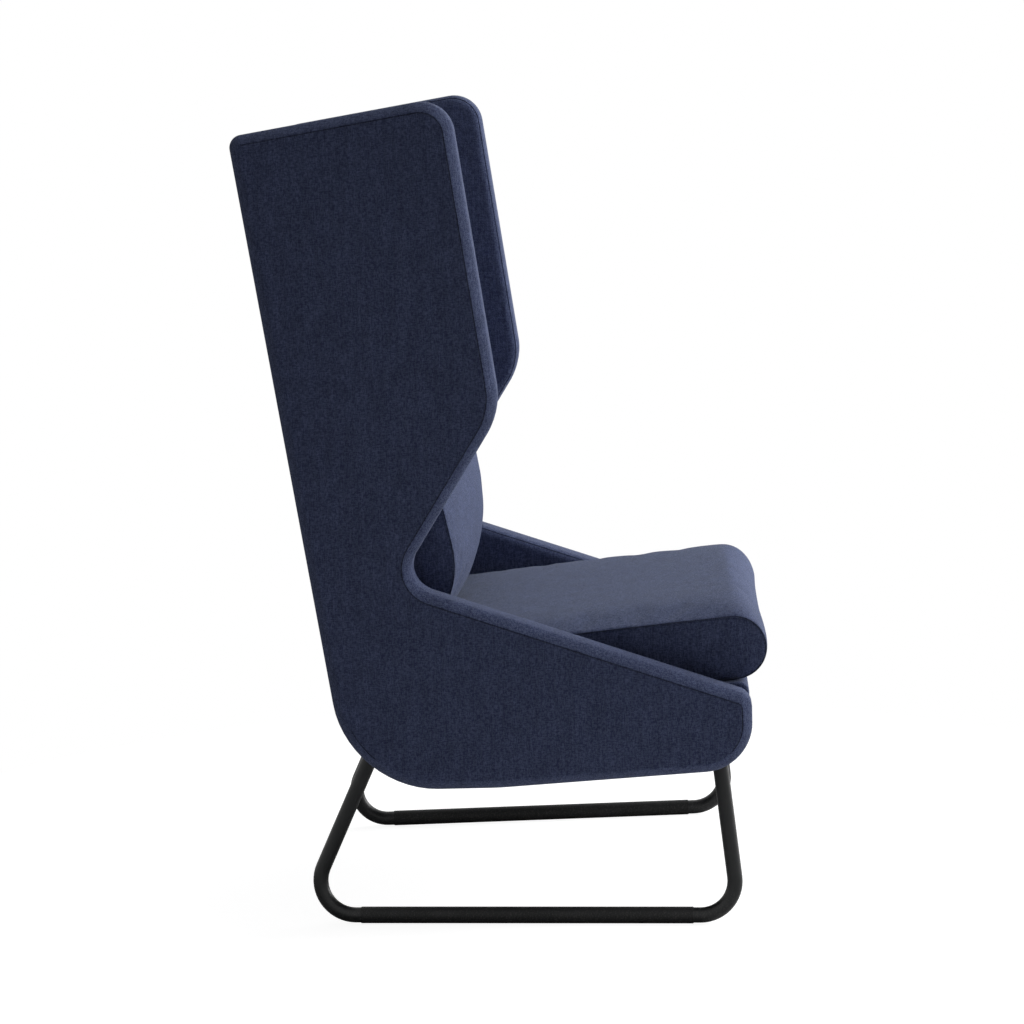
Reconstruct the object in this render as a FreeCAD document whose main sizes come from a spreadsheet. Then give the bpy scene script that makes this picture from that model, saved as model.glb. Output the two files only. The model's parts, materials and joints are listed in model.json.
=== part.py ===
import FreeCAD, Part
import Sketcher
import math
import os
import re

# Acoustic high back lounge chair.
# Millimetres, X across the seat, the front of the chair towards -Y, +Z up,
# origin on the floor under the middle of the chair.

doc = FreeCAD.newDocument("acoustic_high_back_lounge_chair")
sheet = doc.addObject("Spreadsheet::Sheet", "Sizes")

# Driving sizes in millimetres and degrees

SIZES = {
    # Side panels: width over both, layers, edge rounding and seams
    "overall_width": 746,
    "side_thickness": 60,
    "edge_round": 14,
    "fabric_thickness": 1.5,
    "outer_foam_thickness": 10,
    "side_board_thickness": 18,
    "side_board_inset": 16,
    "outer_seam_inset": 13,
    "inner_seam_inset": 5,
    # Side outline corners: distance back from the middle, height and radius
    "rear_low_y": 235,
    "rear_low_z": 216,
    "rear_low_radius": 145,
    "rear_top_y": 364.5,
    "rear_top_z": 1135.5,
    "rear_top_radius": 18,
    "front_top_y": 61,
    "front_top_z": 1181,
    "front_top_radius": 46,
    "wing_tip_y": 3.8,
    "wing_tip_z": 747.4,
    "wing_tip_radius": 90,
    "waist_y": 154,
    "waist_z": 512,
    "waist_radius": 40,
    "arm_front_y": -334,
    "arm_front_z": 340,
    "arm_front_radius": 22,
    "base_front_y": -334,
    "base_front_z": 236,
    "base_front_radius": 70,
    "belly_y": 24,
    "belly_z": 216,
    "belly_radius": 400,
    # Back between the side panels
    "back_thickness": 70,
    "shell_recess": 2,
    "back_low_radius": 72,
    "back_top_round": 14,
    "back_board_thickness": 12,
    "back_board_foam": 10,
    "back_board_foot": 150,
    "back_board_head": 14,
    "top_rail_depth": 30,
    "top_rail_height": 40,
    # Seat frame
    "frame_underside": 258,
    "front_rail_thickness": 45,
    "rear_rail_thickness": 34,
    "side_rail_thickness": 45,
    "side_rail_height": 34,
    "front_low_radius": 25,
    "front_edge_radius": 16,
    "corner_block_size": 75,
    "corner_block_height": 28,
    "web_count": 5,
    "web_width": 50,
    "web_thickness": 2,
    "web_edge_distance": 83,
    "web_overlap": 30,
    "deck_pad_thickness": 10,
    "dust_cover_thickness": 1,
    "dust_cover_overlap": 20,
    # Loose seat cushion, sloping up to the front
    "seat_slope": 4.9,
    "cushion_front_y": -316.4,
    "cushion_front_z": 350.8,
    "seat_cushion_side_gap": 13,
    "seat_cushion_thickness": 93,
    "seat_crown": 12,
    "seat_front_crown": 8,
    "seam_crown": 3.5,
    "nose_bulge": 2,
    "seat_rear_round": 14,
    "seat_back_gap": 4,
    "cushion_gap": 0.5,
    "gusset_bulge": 4,
    "gusset_draw": 12,
    # Loose back cushion
    "back_cushion_side_gap": 17,
    "back_cushion_height": 430,
    "back_cushion_depth": 126,
    "back_cushion_top_depth": 108,
    "back_cushion_crown": 30,
    "back_cushion_low_round": 65,
    "back_cushion_top_round": 45,
    "back_cushion_rest_gap": 2,
    # Sled base
    "tube_diameter": 22,
    "tube_wall": 2,
    "tube_bend_radius": 50,
    "sleeve_wall": 1,
    "sleeve_flat": 0.4,
    "sleeve_length": 480,
    "rail_front_corner": 305.9,
    "rail_rear_corner": 326.5,
    "rail_middle_y": -6,
    "rail_inset": 79,
    "front_leg_angle": 6.2,
    "rear_leg_angle": 24.8,
    "toe_out": 3.9,
    "splay": 4.3,
    "mount_bar_width": 30,
    "mount_bar_thickness": 6,
    "mount_bar_overhang": 6,
    "cross_bar_width": 30,
    "cross_bar_height": 15,
    "cross_bar_wall": 2,
    "cross_bar_front_y": -190,
    "cross_bar_rear_y": 75,
    # Fasteners
    "bolt_diameter": 8,
    "bolt_length": 30,
    "bolt_head_width": 13,
    "bolt_head_height": 5.3,
    "bolt_clearance": 0.8,
    "bolt_rail_distance": 20,
    "bolt_end_clearance": 2,
    "washer_diameter": 18,
    "washer_thickness": 1.6,
    "insert_diameter": 12,
    "insert_length": 18,
}

for row, (alias, number) in enumerate(SIZES.items(), start=1):
    sheet.set("A%d" % row, alias)
    sheet.set("B%d" % row, str(number))
    sheet.setAlias("B%d" % row, alias)
doc.recompute()


def size(alias):
    """A driving size as a number."""
    return float(sheet.get(alias))


# Points closer than this are the same point

SAME_PLACE = 1e-6

# Worked values, kept on the sheet beside the driving sizes

WORKED = {
    "half_width": "overall_width / 2",
    "inner_face": "half_width - side_thickness",
    "seat_cushion_width": "2 * (inner_face - seat_cushion_side_gap)",
    "back_cushion_width": "2 * (inner_face - back_cushion_side_gap)",
    "rail_half_spread": "half_width - rail_inset",
    "web_pitch": "2 * (inner_face - web_edge_distance) / (web_count - 1)",
    "board_outer": "half_width - fabric_thickness - outer_foam_thickness",
    "board_inner": "board_outer - side_board_thickness",
    "lean": "atan((rear_top_y - rear_low_y) / (rear_top_z - rear_low_z)) / 1deg",
    "lean_cos": "cos(lean * 1deg)",
    "lean_tan": "tan(lean * 1deg)",
    "slope_cos": "cos(seat_slope * 1deg)",
    "slope_tan": "tan(seat_slope * 1deg)",
    "deck_top_drop": "cushion_gap / slope_cos",
    "deck_pad_drop": "(cushion_gap + fabric_thickness) / slope_cos",
    "web_drop": "(cushion_gap + fabric_thickness + deck_pad_thickness) / slope_cos",
    "rail_drop": "web_drop + web_thickness / slope_cos",
    "flap_underside": "frame_underside - fabric_thickness",
    "mount_top": "flap_underside - dust_cover_thickness",
    "mount_bottom": "mount_top - mount_bar_thickness",
    "front_face_y": "arm_front_y + shell_recess",
    "front_rail_front_y": "front_face_y + front_low_radius",
    "front_rail_back_y": "front_rail_front_y + front_rail_thickness",
    "low_centre_z": "flap_underside + back_low_radius",
    "rear_line_low": "rear_low_y + lean_tan * (low_centre_z - rear_low_z)",
    "rear_rail_back_y": "rear_line_low - (shell_recess + back_low_radius) / lean_cos",
    "rear_rail_front_y": "rear_rail_back_y - rear_rail_thickness",
    "inner_back_depth": "shell_recess + back_thickness",
    "board_back_depth": "shell_recess + fabric_thickness + back_board_foam",
    "board_front_depth": "board_back_depth + back_board_thickness",
    "sleeve_diameter": "tube_diameter + 2 * sleeve_wall",
    "tube_centre_z": "sleeve_diameter / 2 - sleeve_flat",
    "leg_rise": "mount_bottom - tube_centre_z",
    "bar_inset": "leg_rise * tan(splay * 1deg)",
    "front_leg_top": "rail_front_corner - leg_rise * tan(front_leg_angle * 1deg)",
    "rear_leg_top": "rail_rear_corner - leg_rise * tan(rear_leg_angle * 1deg)",
    "bolt_front_y": "front_rail_back_y + bolt_rail_distance",
    "bolt_rear_y": "rear_rail_front_y - bolt_rail_distance",
    "bolt_reach": "bolt_length - washer_thickness - mount_bar_thickness - dust_cover_thickness",
}

first_worked_row = len(SIZES) + 2
for row, (alias, formula) in enumerate(WORKED.items(), start=first_worked_row):
    sheet.set("A%d" % row, alias)
    sheet.set("B%d" % row, "=" + formula)
    sheet.setAlias("B%d" % row, alias)
    doc.recompute()


def worked(expression):
    """The number that an expression on the sheet gives."""
    found = sheet.evalExpression(expression)
    return float(getattr(found, "Value", found))


nodes = []


def sub_part(item, label):
    """Name a finished piece and list it for export."""
    item.Label = label
    nodes.append(item)
    return item


def solid_part(label, shape):
    """A piece whose shape comes from Part's own functions."""
    item = doc.addObject("Part::Feature", label)
    item.Shape = shape
    item.Placement = FreeCAD.Placement()
    return sub_part(item, label)


def vector(x, y, z):
    return FreeCAD.Vector(x, y, z)


# Bodies with sketches whose dimensions are tied to the sheet


def on_sheet(expression):
    """The same expression, read from outside the sheet."""

    def owned(match):
        word = match.group()
        return "Sizes." + word if word in SIZES or word in WORKED else word

    return re.sub("[a-z][a-z_]*", owned, expression)


def new_body(label):
    body = doc.addObject("PartDesign::Body", label)
    return sub_part(body, label)


def new_sketch(body, name, role):
    """A sketch on one of the body's own origin planes."""
    sketch = body.newObject("Sketcher::SketchObject", name)
    plane = [f for f in body.Origin.OriginFeatures if f.Role == role][0]
    sketch.AttachmentSupport = [(plane, "")]
    sketch.MapMode = "FlatFace"
    return sketch


def dimension(sketch, kind, *terms):
    """A constraint whose last term is an expression on the sheet."""
    expression = terms[-1]
    index = sketch.addConstraint(Sketcher.Constraint(kind, *terms[:-1], worked(expression)))
    sketch.setExpression("Constraints[%d]" % index, on_sheet(expression))
    return index


def add_polygon(sketch, corners):
    """A closed run of lines through corners given as pairs of expressions."""
    points = [vector(worked(a), worked(b), 0) for a, b in corners]
    count = len(points)
    lines = []
    for index in range(count):
        line = Part.LineSegment(points[index], points[(index + 1) % count])
        lines.append(sketch.addGeometry(line, False))
    for index in range(count):
        after = lines[(index + 1) % count]
        sketch.addConstraint(Sketcher.Constraint("Coincident", lines[index], 2, after, 1))
    for index, (across, up) in enumerate(corners):
        dimension(sketch, "DistanceX", -1, 1, lines[index], 1, across)
        dimension(sketch, "DistanceY", -1, 1, lines[index], 1, up)
    return lines


def add_circle(sketch, across, up, radius):
    """A circle with its centre and radius given as expressions."""
    centre = vector(worked(across), worked(up), 0)
    circle = sketch.addGeometry(Part.Circle(centre, vector(0, 0, 1), worked(radius)), False)
    dimension(sketch, "DistanceX", -1, 1, circle, 3, across)
    dimension(sketch, "DistanceY", -1, 1, circle, 3, up)
    dimension(sketch, "Radius", circle, radius)
    return circle


def pad(body, sketch, length, both_ways=False, downward=False):
    """Material on one side of a sketch, or on both."""
    feature = body.newObject("PartDesign::Pad", body.Name + "_pad")
    feature.Profile = sketch
    feature.SideType = "Symmetric" if both_ways else "One side"
    feature.Reversed = downward
    feature.setExpression("Length", on_sheet(length))
    return feature


def pocket(body, sketch, length, both_ways=False, upward=False):
    """A cut on one side of a sketch, or on both."""
    feature = body.newObject("PartDesign::Pocket", body.Name + "_pocket")
    feature.Profile = sketch
    feature.SideType = "Symmetric" if both_ways else "One side"
    feature.Reversed = upward
    feature.setExpression("Length", on_sheet(length))
    return feature


def place(item, x="0", y="0", z="0"):
    """Tie the position of a piece to the sheet."""
    for axis, expression in (("x", x), ("y", y), ("z", z)):
        if expression != "0":
            item.setExpression("Placement.Base." + axis, on_sheet(expression))


def side_profile(label, corners, length):
    """A bar across the chair: a profile seen from the side, padded both ways in X."""
    body = new_body(label)
    sketch = new_sketch(body, label + "_profile", "YZ_Plane")
    add_polygon(sketch, corners)
    pad(body, sketch, length, both_ways=True)
    return body


def deck_z(y, drop):
    """The height at y of a plane under the seat cushion."""
    return "cushion_front_z - slope_tan * (%s - cushion_front_y) - %s" % (y, drop)


# Seat frame


def front_rail():
    corners = [
        ("front_rail_front_y", "frame_underside"),
        ("front_rail_back_y", "frame_underside"),
        ("front_rail_back_y", deck_z("front_rail_back_y", "rail_drop")),
        ("front_rail_front_y", deck_z("front_rail_front_y", "rail_drop")),
    ]
    return side_profile("front_rail", corners, "2 * board_inner")


def rear_rail():
    corners = [
        ("rear_rail_front_y", "frame_underside"),
        ("rear_rail_back_y", "frame_underside"),
        ("rear_rail_back_y", deck_z("rear_rail_back_y", "rail_drop")),
        ("rear_rail_front_y", deck_z("rear_rail_front_y", "rail_drop")),
    ]
    return side_profile("rear_rail", corners, "2 * board_inner")


def side_rail(side, start):
    """A rail on the inside of a side board, between the front and rear rails."""
    body = new_body("side_rail_" + side)
    sketch = new_sketch(body, "side_rail_profile_" + side, "YZ_Plane")
    top = "frame_underside + side_rail_height"
    corners = [
        ("front_rail_back_y", "frame_underside"),
        ("rear_rail_front_y", "frame_underside"),
        ("rear_rail_front_y", top),
        ("front_rail_back_y", top),
    ]
    add_polygon(sketch, corners)
    pad(body, sketch, "side_rail_thickness")
    place(body, x=start)
    return body


def corner_block(end, side, rail_y, inward, sign):
    """A three-cornered block in a corner of the frame, bored for an insert."""
    body = new_body("corner_block_%s_%s" % (end, side))
    sketch = new_sketch(body, body.Name + "_plan", "XY_Plane")
    corner_x = "%d * (board_inner - side_rail_thickness)" % sign
    corners = [
        (corner_x, rail_y),
        (corner_x + " - %d * corner_block_size" % sign, rail_y),
        (corner_x, rail_y + " + %d * corner_block_size" % inward),
    ]
    add_polygon(sketch, corners)
    pad(body, sketch, "corner_block_height")
    bore = new_sketch(body, body.Name + "_bore", "XY_Plane")
    add_circle(bore, bolt_x(end, sign), "bolt_%s_y" % end, "insert_diameter / 2")
    pocket(body, bore, "insert_length", upward=True)
    pilot = new_sketch(body, body.Name + "_pilot", "XY_Plane")
    add_circle(pilot, bolt_x(end, sign), "bolt_%s_y" % end, "(bolt_diameter + bolt_clearance) / 2")
    pocket(body, pilot, "bolt_reach + bolt_end_clearance", upward=True)
    place(body, z="flap_underside")
    return body


def bolt_x(end, sign):
    """The place across the chair of a bolt, on the middle line of its mount bar."""
    run = "(bolt_%s_y - rail_middle_y) * tan(toe_out * 1deg)" % end
    return "%d * (rail_half_spread - bar_inset / cos(toe_out * 1deg) - %s)" % (sign, run)


def web(number):
    """An elastic web laid from the front rail to the rear rail."""
    start = "front_rail_back_y - web_overlap"
    end = "rear_rail_front_y + web_overlap"
    body = new_body("seat_web_%d" % number)
    sketch = new_sketch(body, body.Name + "_profile", "YZ_Plane")
    corners = [
        (start, deck_z("(%s)" % start, "rail_drop")),
        (end, deck_z("(%s)" % end, "rail_drop")),
        (end, deck_z("(%s)" % end, "web_drop")),
        (start, deck_z("(%s)" % start, "web_drop")),
    ]
    add_polygon(sketch, corners)
    pad(body, sketch, "web_width", both_ways=True)
    place(body, x="(%d - (web_count + 1) / 2) * web_pitch" % number)
    return body


def deck_layer(label, lower, upper):
    """A sloping layer on the frame, from the front rail to the inside of the back."""
    start = "front_rail_back_y"
    ends = []
    for drop in (lower, upper):
        reach = "(rear_low_y - inner_back_depth / lean_cos"
        reach += " + lean_tan * (cushion_front_z + slope_tan * cushion_front_y - %s - rear_low_z))" % drop
        ends.append(reach + " / (1 + lean_tan * slope_tan)")
    corners = [
        (start, deck_z(start, lower)),
        (ends[0], deck_z("(%s)" % ends[0], lower)),
        (ends[1], deck_z("(%s)" % ends[1], upper)),
        (start, deck_z(start, upper)),
    ]
    return side_profile(label, corners, "2 * inner_face")


def dust_cover():
    """A thin cloth closing the frame below, with a hole for each bolt."""
    body = new_body("dust_cover")
    sketch = new_sketch(body, "dust_cover_plan", "XY_Plane")
    front = "front_rail_back_y - dust_cover_overlap"
    rear = "rear_rail_front_y + dust_cover_overlap"
    corners = [("-inner_face", front), ("inner_face", front), ("inner_face", rear), ("-inner_face", rear)]
    add_polygon(sketch, corners)
    for sign in (-1, 1):
        for end in ("front", "rear"):
            add_circle(sketch, bolt_x(end, sign), "bolt_%s_y" % end, "(bolt_diameter + bolt_clearance) / 2")
    pad(body, sketch, "dust_cover_thickness")
    place(body, z="mount_top")
    return body


front_rail()
rear_rail()
side_rail("left", "-board_inner")
side_rail("right", "board_inner - side_rail_thickness")
for side, sign in (("left", -1), ("right", 1)):
    corner_block("front", side, "front_rail_back_y", 1, sign)
    corner_block("rear", side, "rear_rail_front_y", -1, sign)
for number in range(1, int(size("web_count")) + 1):
    web(number)
deck_layer("deck_pad", "web_drop", "deck_pad_drop")
deck_layer("deck_cover", "deck_pad_drop", "deck_top_drop")
dust_cover()

# Back board and top rail, leaning with the back

TOP_SLOPE = "((front_top_z - rear_top_z) / (rear_top_y - front_top_y))"


def on_back(along, depth):
    """A point given by its way up the rear line and its depth inside it."""
    across = "rear_low_y + (%s) * sin(lean * 1deg) - (%s) * lean_cos" % (along, depth)
    up = "rear_low_z + (%s) * lean_cos + (%s) * sin(lean * 1deg)" % (along, depth)
    return across, up


def back_head(inset, depth):
    """The way up the rear line to a line that lies inset below the top, at a depth."""
    tilt = "(atan(%s) / 1deg - lean)" % TOP_SLOPE
    length = "((rear_top_z - rear_low_z) / lean_cos)"
    return "%s - (%s) / cos(%s * 1deg) + (%s) * tan(%s * 1deg)" % (length, inset, tilt, depth, tilt)


def back_member(label, depth_rear, depth_front, foot, foot_from_head=False):
    """A board or rail across the back with its head parallel to the top edge."""
    head_inset = "shell_recess + fabric_thickness + back_board_head"
    heads = [back_head(head_inset, depth) for depth in (depth_rear, depth_front)]
    feet = [foot, foot]
    if foot_from_head:
        feet = ["%s - (%s)" % (head, foot) for head in heads]
    corners = [
        on_back(feet[0], depth_rear),
        on_back(heads[0], depth_rear),
        on_back(heads[1], depth_front),
        on_back(feet[1], depth_front),
    ]
    return side_profile(label, corners, "2 * board_inner")


back_member("back_board", "board_back_depth", "board_front_depth", "back_board_foot")
back_member(
    "back_top_rail",
    "board_front_depth",
    "board_front_depth + top_rail_depth",
    "top_rail_height",
    foot_from_head=True,
)

# Side outline: one sketch, whose corners and radii every side piece follows

CORNERS = ["rear_low", "rear_top", "front_top", "wing_tip", "waist", "arm_front", "base_front", "belly"]
REAR_SIDE = 0
UNDER_SIDES = (6, 7)


def meeting(point_a, along_a, point_b, along_b):
    """The point where two lines in a plane meet."""
    cross = along_a[0] * along_b[1] - along_a[1] * along_b[0]
    gap = (point_b[0] - point_a[0], point_b[1] - point_a[1])
    share = (gap[0] * along_b[1] - gap[1] * along_b[0]) / cross
    return point_a[0] + along_a[0] * share, point_a[1] + along_a[1] * share


def inset_corners(corners, insets):
    """Corners (y, z, radius) of an outline with each of its sides moved inwards.

    Side 0 runs from the first corner to the second, and so on round.
    """
    count = len(corners)
    moved = []
    for index in range(count):
        start = corners[index]
        end = corners[(index + 1) % count]
        along = (end[0] - start[0], end[1] - start[1])
        length = math.hypot(*along)
        along = (along[0] / length, along[1] / length)
        shift = insets[index]
        moved.append(((start[0] - along[1] * shift, start[1] + along[0] * shift), along))
    result = []
    for index in range(count):
        (point_a, along_a), (point_b, along_b) = moved[index - 1], moved[index]
        y, z = meeting(point_a, along_a, point_b, along_b)
        turn = along_a[0] * along_b[1] - along_a[1] * along_b[0]
        before, after = insets[index - 1], insets[index]
        radius = corners[index][2]
        radius = radius - math.copysign(before, before * turn) if abs(before - after) < SAME_PLACE else 0
        result.append((y, z, max(radius, 0)))
    return result


def outline_points(corners, x=0.0):
    """For each corner: where its arc starts, the arc's middle and where it ends."""
    count = len(corners)
    points = []
    for index, (y, z, radius) in enumerate(corners):
        before = corners[index - 1]
        after = corners[(index + 1) % count]
        corner = vector(x, y, z)
        back = (vector(x, before[0], before[1]) - corner).normalize()
        ahead = (vector(x, after[0], after[1]) - corner).normalize()
        half_angle = back.getAngle(ahead) / 2
        reach = radius / math.tan(half_angle)
        sagitta = radius / math.sin(half_angle) - radius
        middle = corner + (back + ahead).normalize() * sagitta
        points.append((corner + back * reach, middle, corner + ahead * reach))
    return points


def outline_wire(corners, x=0.0):
    """A closed outline of lines and corner arcs in the plane X = x."""
    points = outline_points(corners, x)
    edges = []
    for index, (start, middle, end) in enumerate(points):
        if corners[index][2] > 0:
            edges.append(Part.Arc(start, middle, end).toShape())
        following = points[(index + 1) % len(points)][0]
        edges.append(Part.LineSegment(end, following).toShape())
    return Part.Wire(edges)


def slab(corners, x_from, x_to):
    """The solid between two X planes inside a closed outline."""
    face = Part.Face(outline_wire(corners, x_from))
    return face.extrude(vector(x_to - x_from, 0, 0))


def round_rim(solid, x, radius):
    """The solid with the edge all round its face at X = x rounded."""
    rim = [e for e in solid.Edges if all(abs(v.Point.x - x) < SAME_PLACE for v in e.Vertexes)]
    return solid.makeFillet(radius, rim[:1])


def main_solid(shape):
    """The largest solid of a cut."""
    return max(shape.Solids, key=lambda piece: piece.Volume)


side_corners = [(size(n + "_y"), size(n + "_z"), size(n + "_radius")) for n in CORNERS]
half_width = size("half_width")
inner_face = size("inner_face")
fabric = size("fabric_thickness")


def outline_sketch():
    """The outline as a sketch in the YZ plane, with its corners tied to the sheet."""
    sketch = doc.addObject("Sketcher::SketchObject", "side_outline")
    sketch.Placement = FreeCAD.Placement(vector(0, 0, 0), FreeCAD.Rotation(vector(1, 1, 1), 120))
    count = len(side_corners)
    points = [[vector(p.y, p.z, 0) for p in trio] for trio in outline_points(side_corners)]
    lines = []
    arcs = []
    for index in range(count):
        run = Part.LineSegment(points[index][2], points[(index + 1) % count][0])
        lines.append(sketch.addGeometry(run, False))
    for start, middle, end in points:
        arcs.append(sketch.addGeometry(Part.Arc(start, middle, end), False))
    for index, (arc, name) in enumerate(zip(arcs, CORNERS)):
        before = lines[index - 1]
        after = lines[index]
        forward = (sketch.Geometry[arc].StartPoint - points[index][0]).Length < SAME_PLACE
        first, last = (1, 2) if forward else (2, 1)
        corner = sketch.addGeometry(Part.Point(vector(*side_corners[index][:2], 0)), True)
        sketch.addConstraint(Sketcher.Constraint("Tangent", before, 2, arc, first))
        sketch.addConstraint(Sketcher.Constraint("Tangent", arc, last, after, 1))
        sketch.addConstraint(Sketcher.Constraint("PointOnObject", corner, 1, before))
        sketch.addConstraint(Sketcher.Constraint("PointOnObject", corner, 1, after))
        dimension(sketch, "Radius", arc, name + "_radius")
        dimension(sketch, "DistanceX", -1, 1, corner, 1, name + "_y")
        dimension(sketch, "DistanceY", -1, 1, corner, 1, name + "_z")
    return sketch


def side_board(side, start, outline):
    """The plywood core of a side panel."""
    board = doc.addObject("Part::Extrusion", "side_board_" + side)
    board.Base = outline
    board.DirMode = "Normal"
    board.Solid = True
    board.setExpression("LengthFwd", on_sheet("side_board_thickness"))
    place(board, x=start)
    return sub_part(board, "side_board_" + side)


side_outline = outline_sketch()
board_outline = doc.addObject("Part::Offset2D", "board_outline")
board_outline.Source = side_outline
board_outline.setExpression("Value", on_sheet("-side_board_inset"))
side_board("left", "-board_outer", board_outline)
side_board("right", "board_inner", board_outline)
doc.recompute()


def shape_of(label):
    """The shape of a piece made so far."""
    return [item for item in nodes if item.Label == label][0].Shape.copy()


# Upholstery of the side panels


def panel_body(inset, radius):
    """The left panel with rounded edges, drawn in by an inset all round."""
    outer = -half_width + inset
    inner = -inner_face - inset
    solid = slab(inset_corners(side_corners, [inset] * 8), outer, inner)
    solid = round_rim(solid, outer, radius)
    return round_rim(solid, inner, radius)


def side_upholstery():
    """Foam and covers of the left panel, as a dictionary of solids."""
    edge_round = size("edge_round")
    whole = panel_body(0, edge_round)
    stuffing = panel_body(fabric, edge_round - fabric)
    board = shape_of("side_board_left")
    let_in = [shape_of(name) for name in ("front_rail", "rear_rail", "side_rail_left")]
    let_in += [shape_of(name) for name in ("back_board", "back_top_rail")]
    outer_foam = stuffing.common(slab(side_corners, -half_width, -size("board_outer")))
    inner_foam = stuffing.cut([outer_foam, board] + let_in)
    shell = whole.cut(stuffing)
    inner_zone_corners = inset_corners(side_corners, [size("inner_seam_inset")] * 8)
    inner_zone = slab(inner_zone_corners, -inner_face - edge_round / 2, -inner_face + fabric)
    outer_insets = [size("outer_seam_inset")] * 8
    for edge in (REAR_SIDE, *UNDER_SIDES):
        outer_insets[edge] = -size("side_thickness")
    cover_corners = inset_corners(side_corners, outer_insets)
    cover_zone = slab(cover_corners, -half_width - fabric, -inner_face + fabric)
    inner_cover = shell.common(inner_zone).cut(let_in)
    rest = shell.cut(inner_zone)
    return {
        "side_outer_foam": main_solid(outer_foam),
        "side_inner_foam": main_solid(inner_foam),
        "side_cover": main_solid(rest.common(cover_zone)),
        "side_edge_band": main_solid(rest.cut(cover_zone)),
        "side_inner_cover": main_solid(inner_cover),
    }


for name, shape in side_upholstery().items():
    solid_part(name + "_left", shape)
    solid_part(name + "_right", shape.mirror(vector(0, 0, 0), vector(1, 0, 0)))

# Upholstery of the back and of the front rail, between the side panels


def point_on_back(along, depth):
    across, up = on_back(along, depth)
    return worked(across), worked(up)


def deck_meets_back(drop):
    """Where a plane under the seat cushion meets the inside of the back."""
    foot = point_on_back("0", "inner_back_depth")
    up = (math.tan(math.radians(size("lean"))), 1.0)
    deck_start = (size("front_face_y"), worked(deck_z("front_face_y", drop)))
    return meeting(foot, up, deck_start, (1.0, -size("slope_tan")))


def back_corners():
    """The back seen from the side, going up its rear and down its inside."""
    underside = size("flap_underside")
    foot = point_on_back("0", "shell_recess")
    up = (math.tan(math.radians(size("lean"))), 1.0)
    low = meeting(foot, up, (0.0, underside), (1.0, 0.0))
    rear_head = point_on_back(back_head("shell_recess", "shell_recess"), "shell_recess")
    front_head = point_on_back(back_head("shell_recess", "inner_back_depth"), "inner_back_depth")
    inner_foot = deck_meets_back("rail_drop")
    rail_y = size("rear_rail_front_y")
    top_round = size("back_top_round")
    return [
        (low[0], low[1], size("back_low_radius")),
        (rear_head[0], rear_head[1], top_round),
        (front_head[0], front_head[1], top_round),
        (inner_foot[0], inner_foot[1], 0),
        (rail_y, worked(deck_z("rear_rail_front_y", "rail_drop")), 0),
        (rail_y, underside, 0),
    ]


def back_zone(lows, high, depths):
    """The space between the side panels within limits along and into the back.

    The depths are those of its rear and its front, and it has a low end at each.
    """
    corners = [
        point_on_back(lows[1], depths[1]),
        point_on_back(lows[0], depths[0]),
        point_on_back(high, depths[0]),
        point_on_back(high, depths[1]),
    ]
    return slab([(y, z, 0) for y, z in corners], -inner_face, inner_face)


def back_upholstery():
    """Foam and covers of the back, as a dictionary of solids."""
    corners = back_corners()
    whole = slab(corners, -inner_face, inner_face)
    stuffing_insets = [fabric, fabric, fabric, 0, 0, fabric]
    stuffing = slab(inset_corners(corners, stuffing_insets), -inner_face, inner_face)
    frame = [shape_of(name) for name in ("rear_rail", "back_board", "back_top_rail")]
    shell = whole.cut(stuffing)
    foam = stuffing.cut(frame)
    beyond = "rear_top_z"
    outside = "-side_thickness"
    deep = "inner_back_depth + side_thickness"
    behind = back_zone(["-rear_low_z"] * 2, beyond, [outside, "board_front_depth"])
    seam_drop = "shell_recess + back_top_round / 2"
    seams = [back_head(seam_drop, depth) for depth in (outside, deep)]
    above = back_zone(seams, beyond, [outside, deep])
    feet = ["(frame_underside - rear_low_z) / lean_cos"] * 2
    inside = back_zone(feet, beyond, ["inner_back_depth - back_top_round / 2", deep])
    below_seam = shell.cut(above)
    return {
        "back_outer_foam": main_solid(foam.common(behind)),
        "back_inner_foam": main_solid(foam.cut(behind)),
        "back_outer_cover": main_solid(below_seam.cut(inside)),
        "back_inner_cover": main_solid(below_seam.common(inside)),
        "back_top_band": main_solid(shell.common(above)),
    }


def front_upholstery():
    """Foam and cover wrapped round the front rail."""
    face_y = size("front_face_y")
    back_edge = size("front_rail_back_y")
    underside = size("flap_underside")
    corners = [
        (back_edge, underside, 0),
        (back_edge, worked(deck_z("front_rail_back_y", "deck_top_drop")), 0),
        (face_y, worked(deck_z("front_face_y", "deck_top_drop")), size("front_edge_radius")),
        (face_y, underside, size("front_low_radius")),
    ]
    whole = slab(corners, -inner_face, inner_face)
    stuffing = slab(inset_corners(corners, [0, fabric, fabric, fabric]), -inner_face, inner_face)
    frame = [shape_of("front_rail")]
    frame += [shape_of("seat_web_%d" % (n + 1)) for n in range(int(size("web_count")))]
    return {
        "front_foam": main_solid(stuffing.cut(frame)),
        "front_cover": main_solid(whole.cut(stuffing)),
    }


for build in (back_upholstery, front_upholstery):
    for name, shape in build().items():
        solid_part(name, shape)

# Loose cushions: sections across the chair, joined by lofts. A quarter circle bows out
# from its chord by QUARTER_BOW of its radius. The sections stand at LOFT_SHARES of the
# half width.

QUARTER_BOW = 1 - math.sqrt(0.5)
LOFT_SHARES = (-1, -0.7, -0.35, 0, 0.35, 0.7, 1)

# The lower front of the back cushion. The chin is where its round leaves the seat and the
# face is where it ends. Each is set back from the belly by a share of the low round and
# takes a share of the crown, and the arc after it bows out by another share of the round.

CHIN_SETBACK = 0.65
CHIN_CROWN = 1 / 3
CHIN_BOW = 0.13
FACE_SETBACK = 0.12
FACE_CROWN = 0.6
FACE_BOW = 0.25


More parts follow.
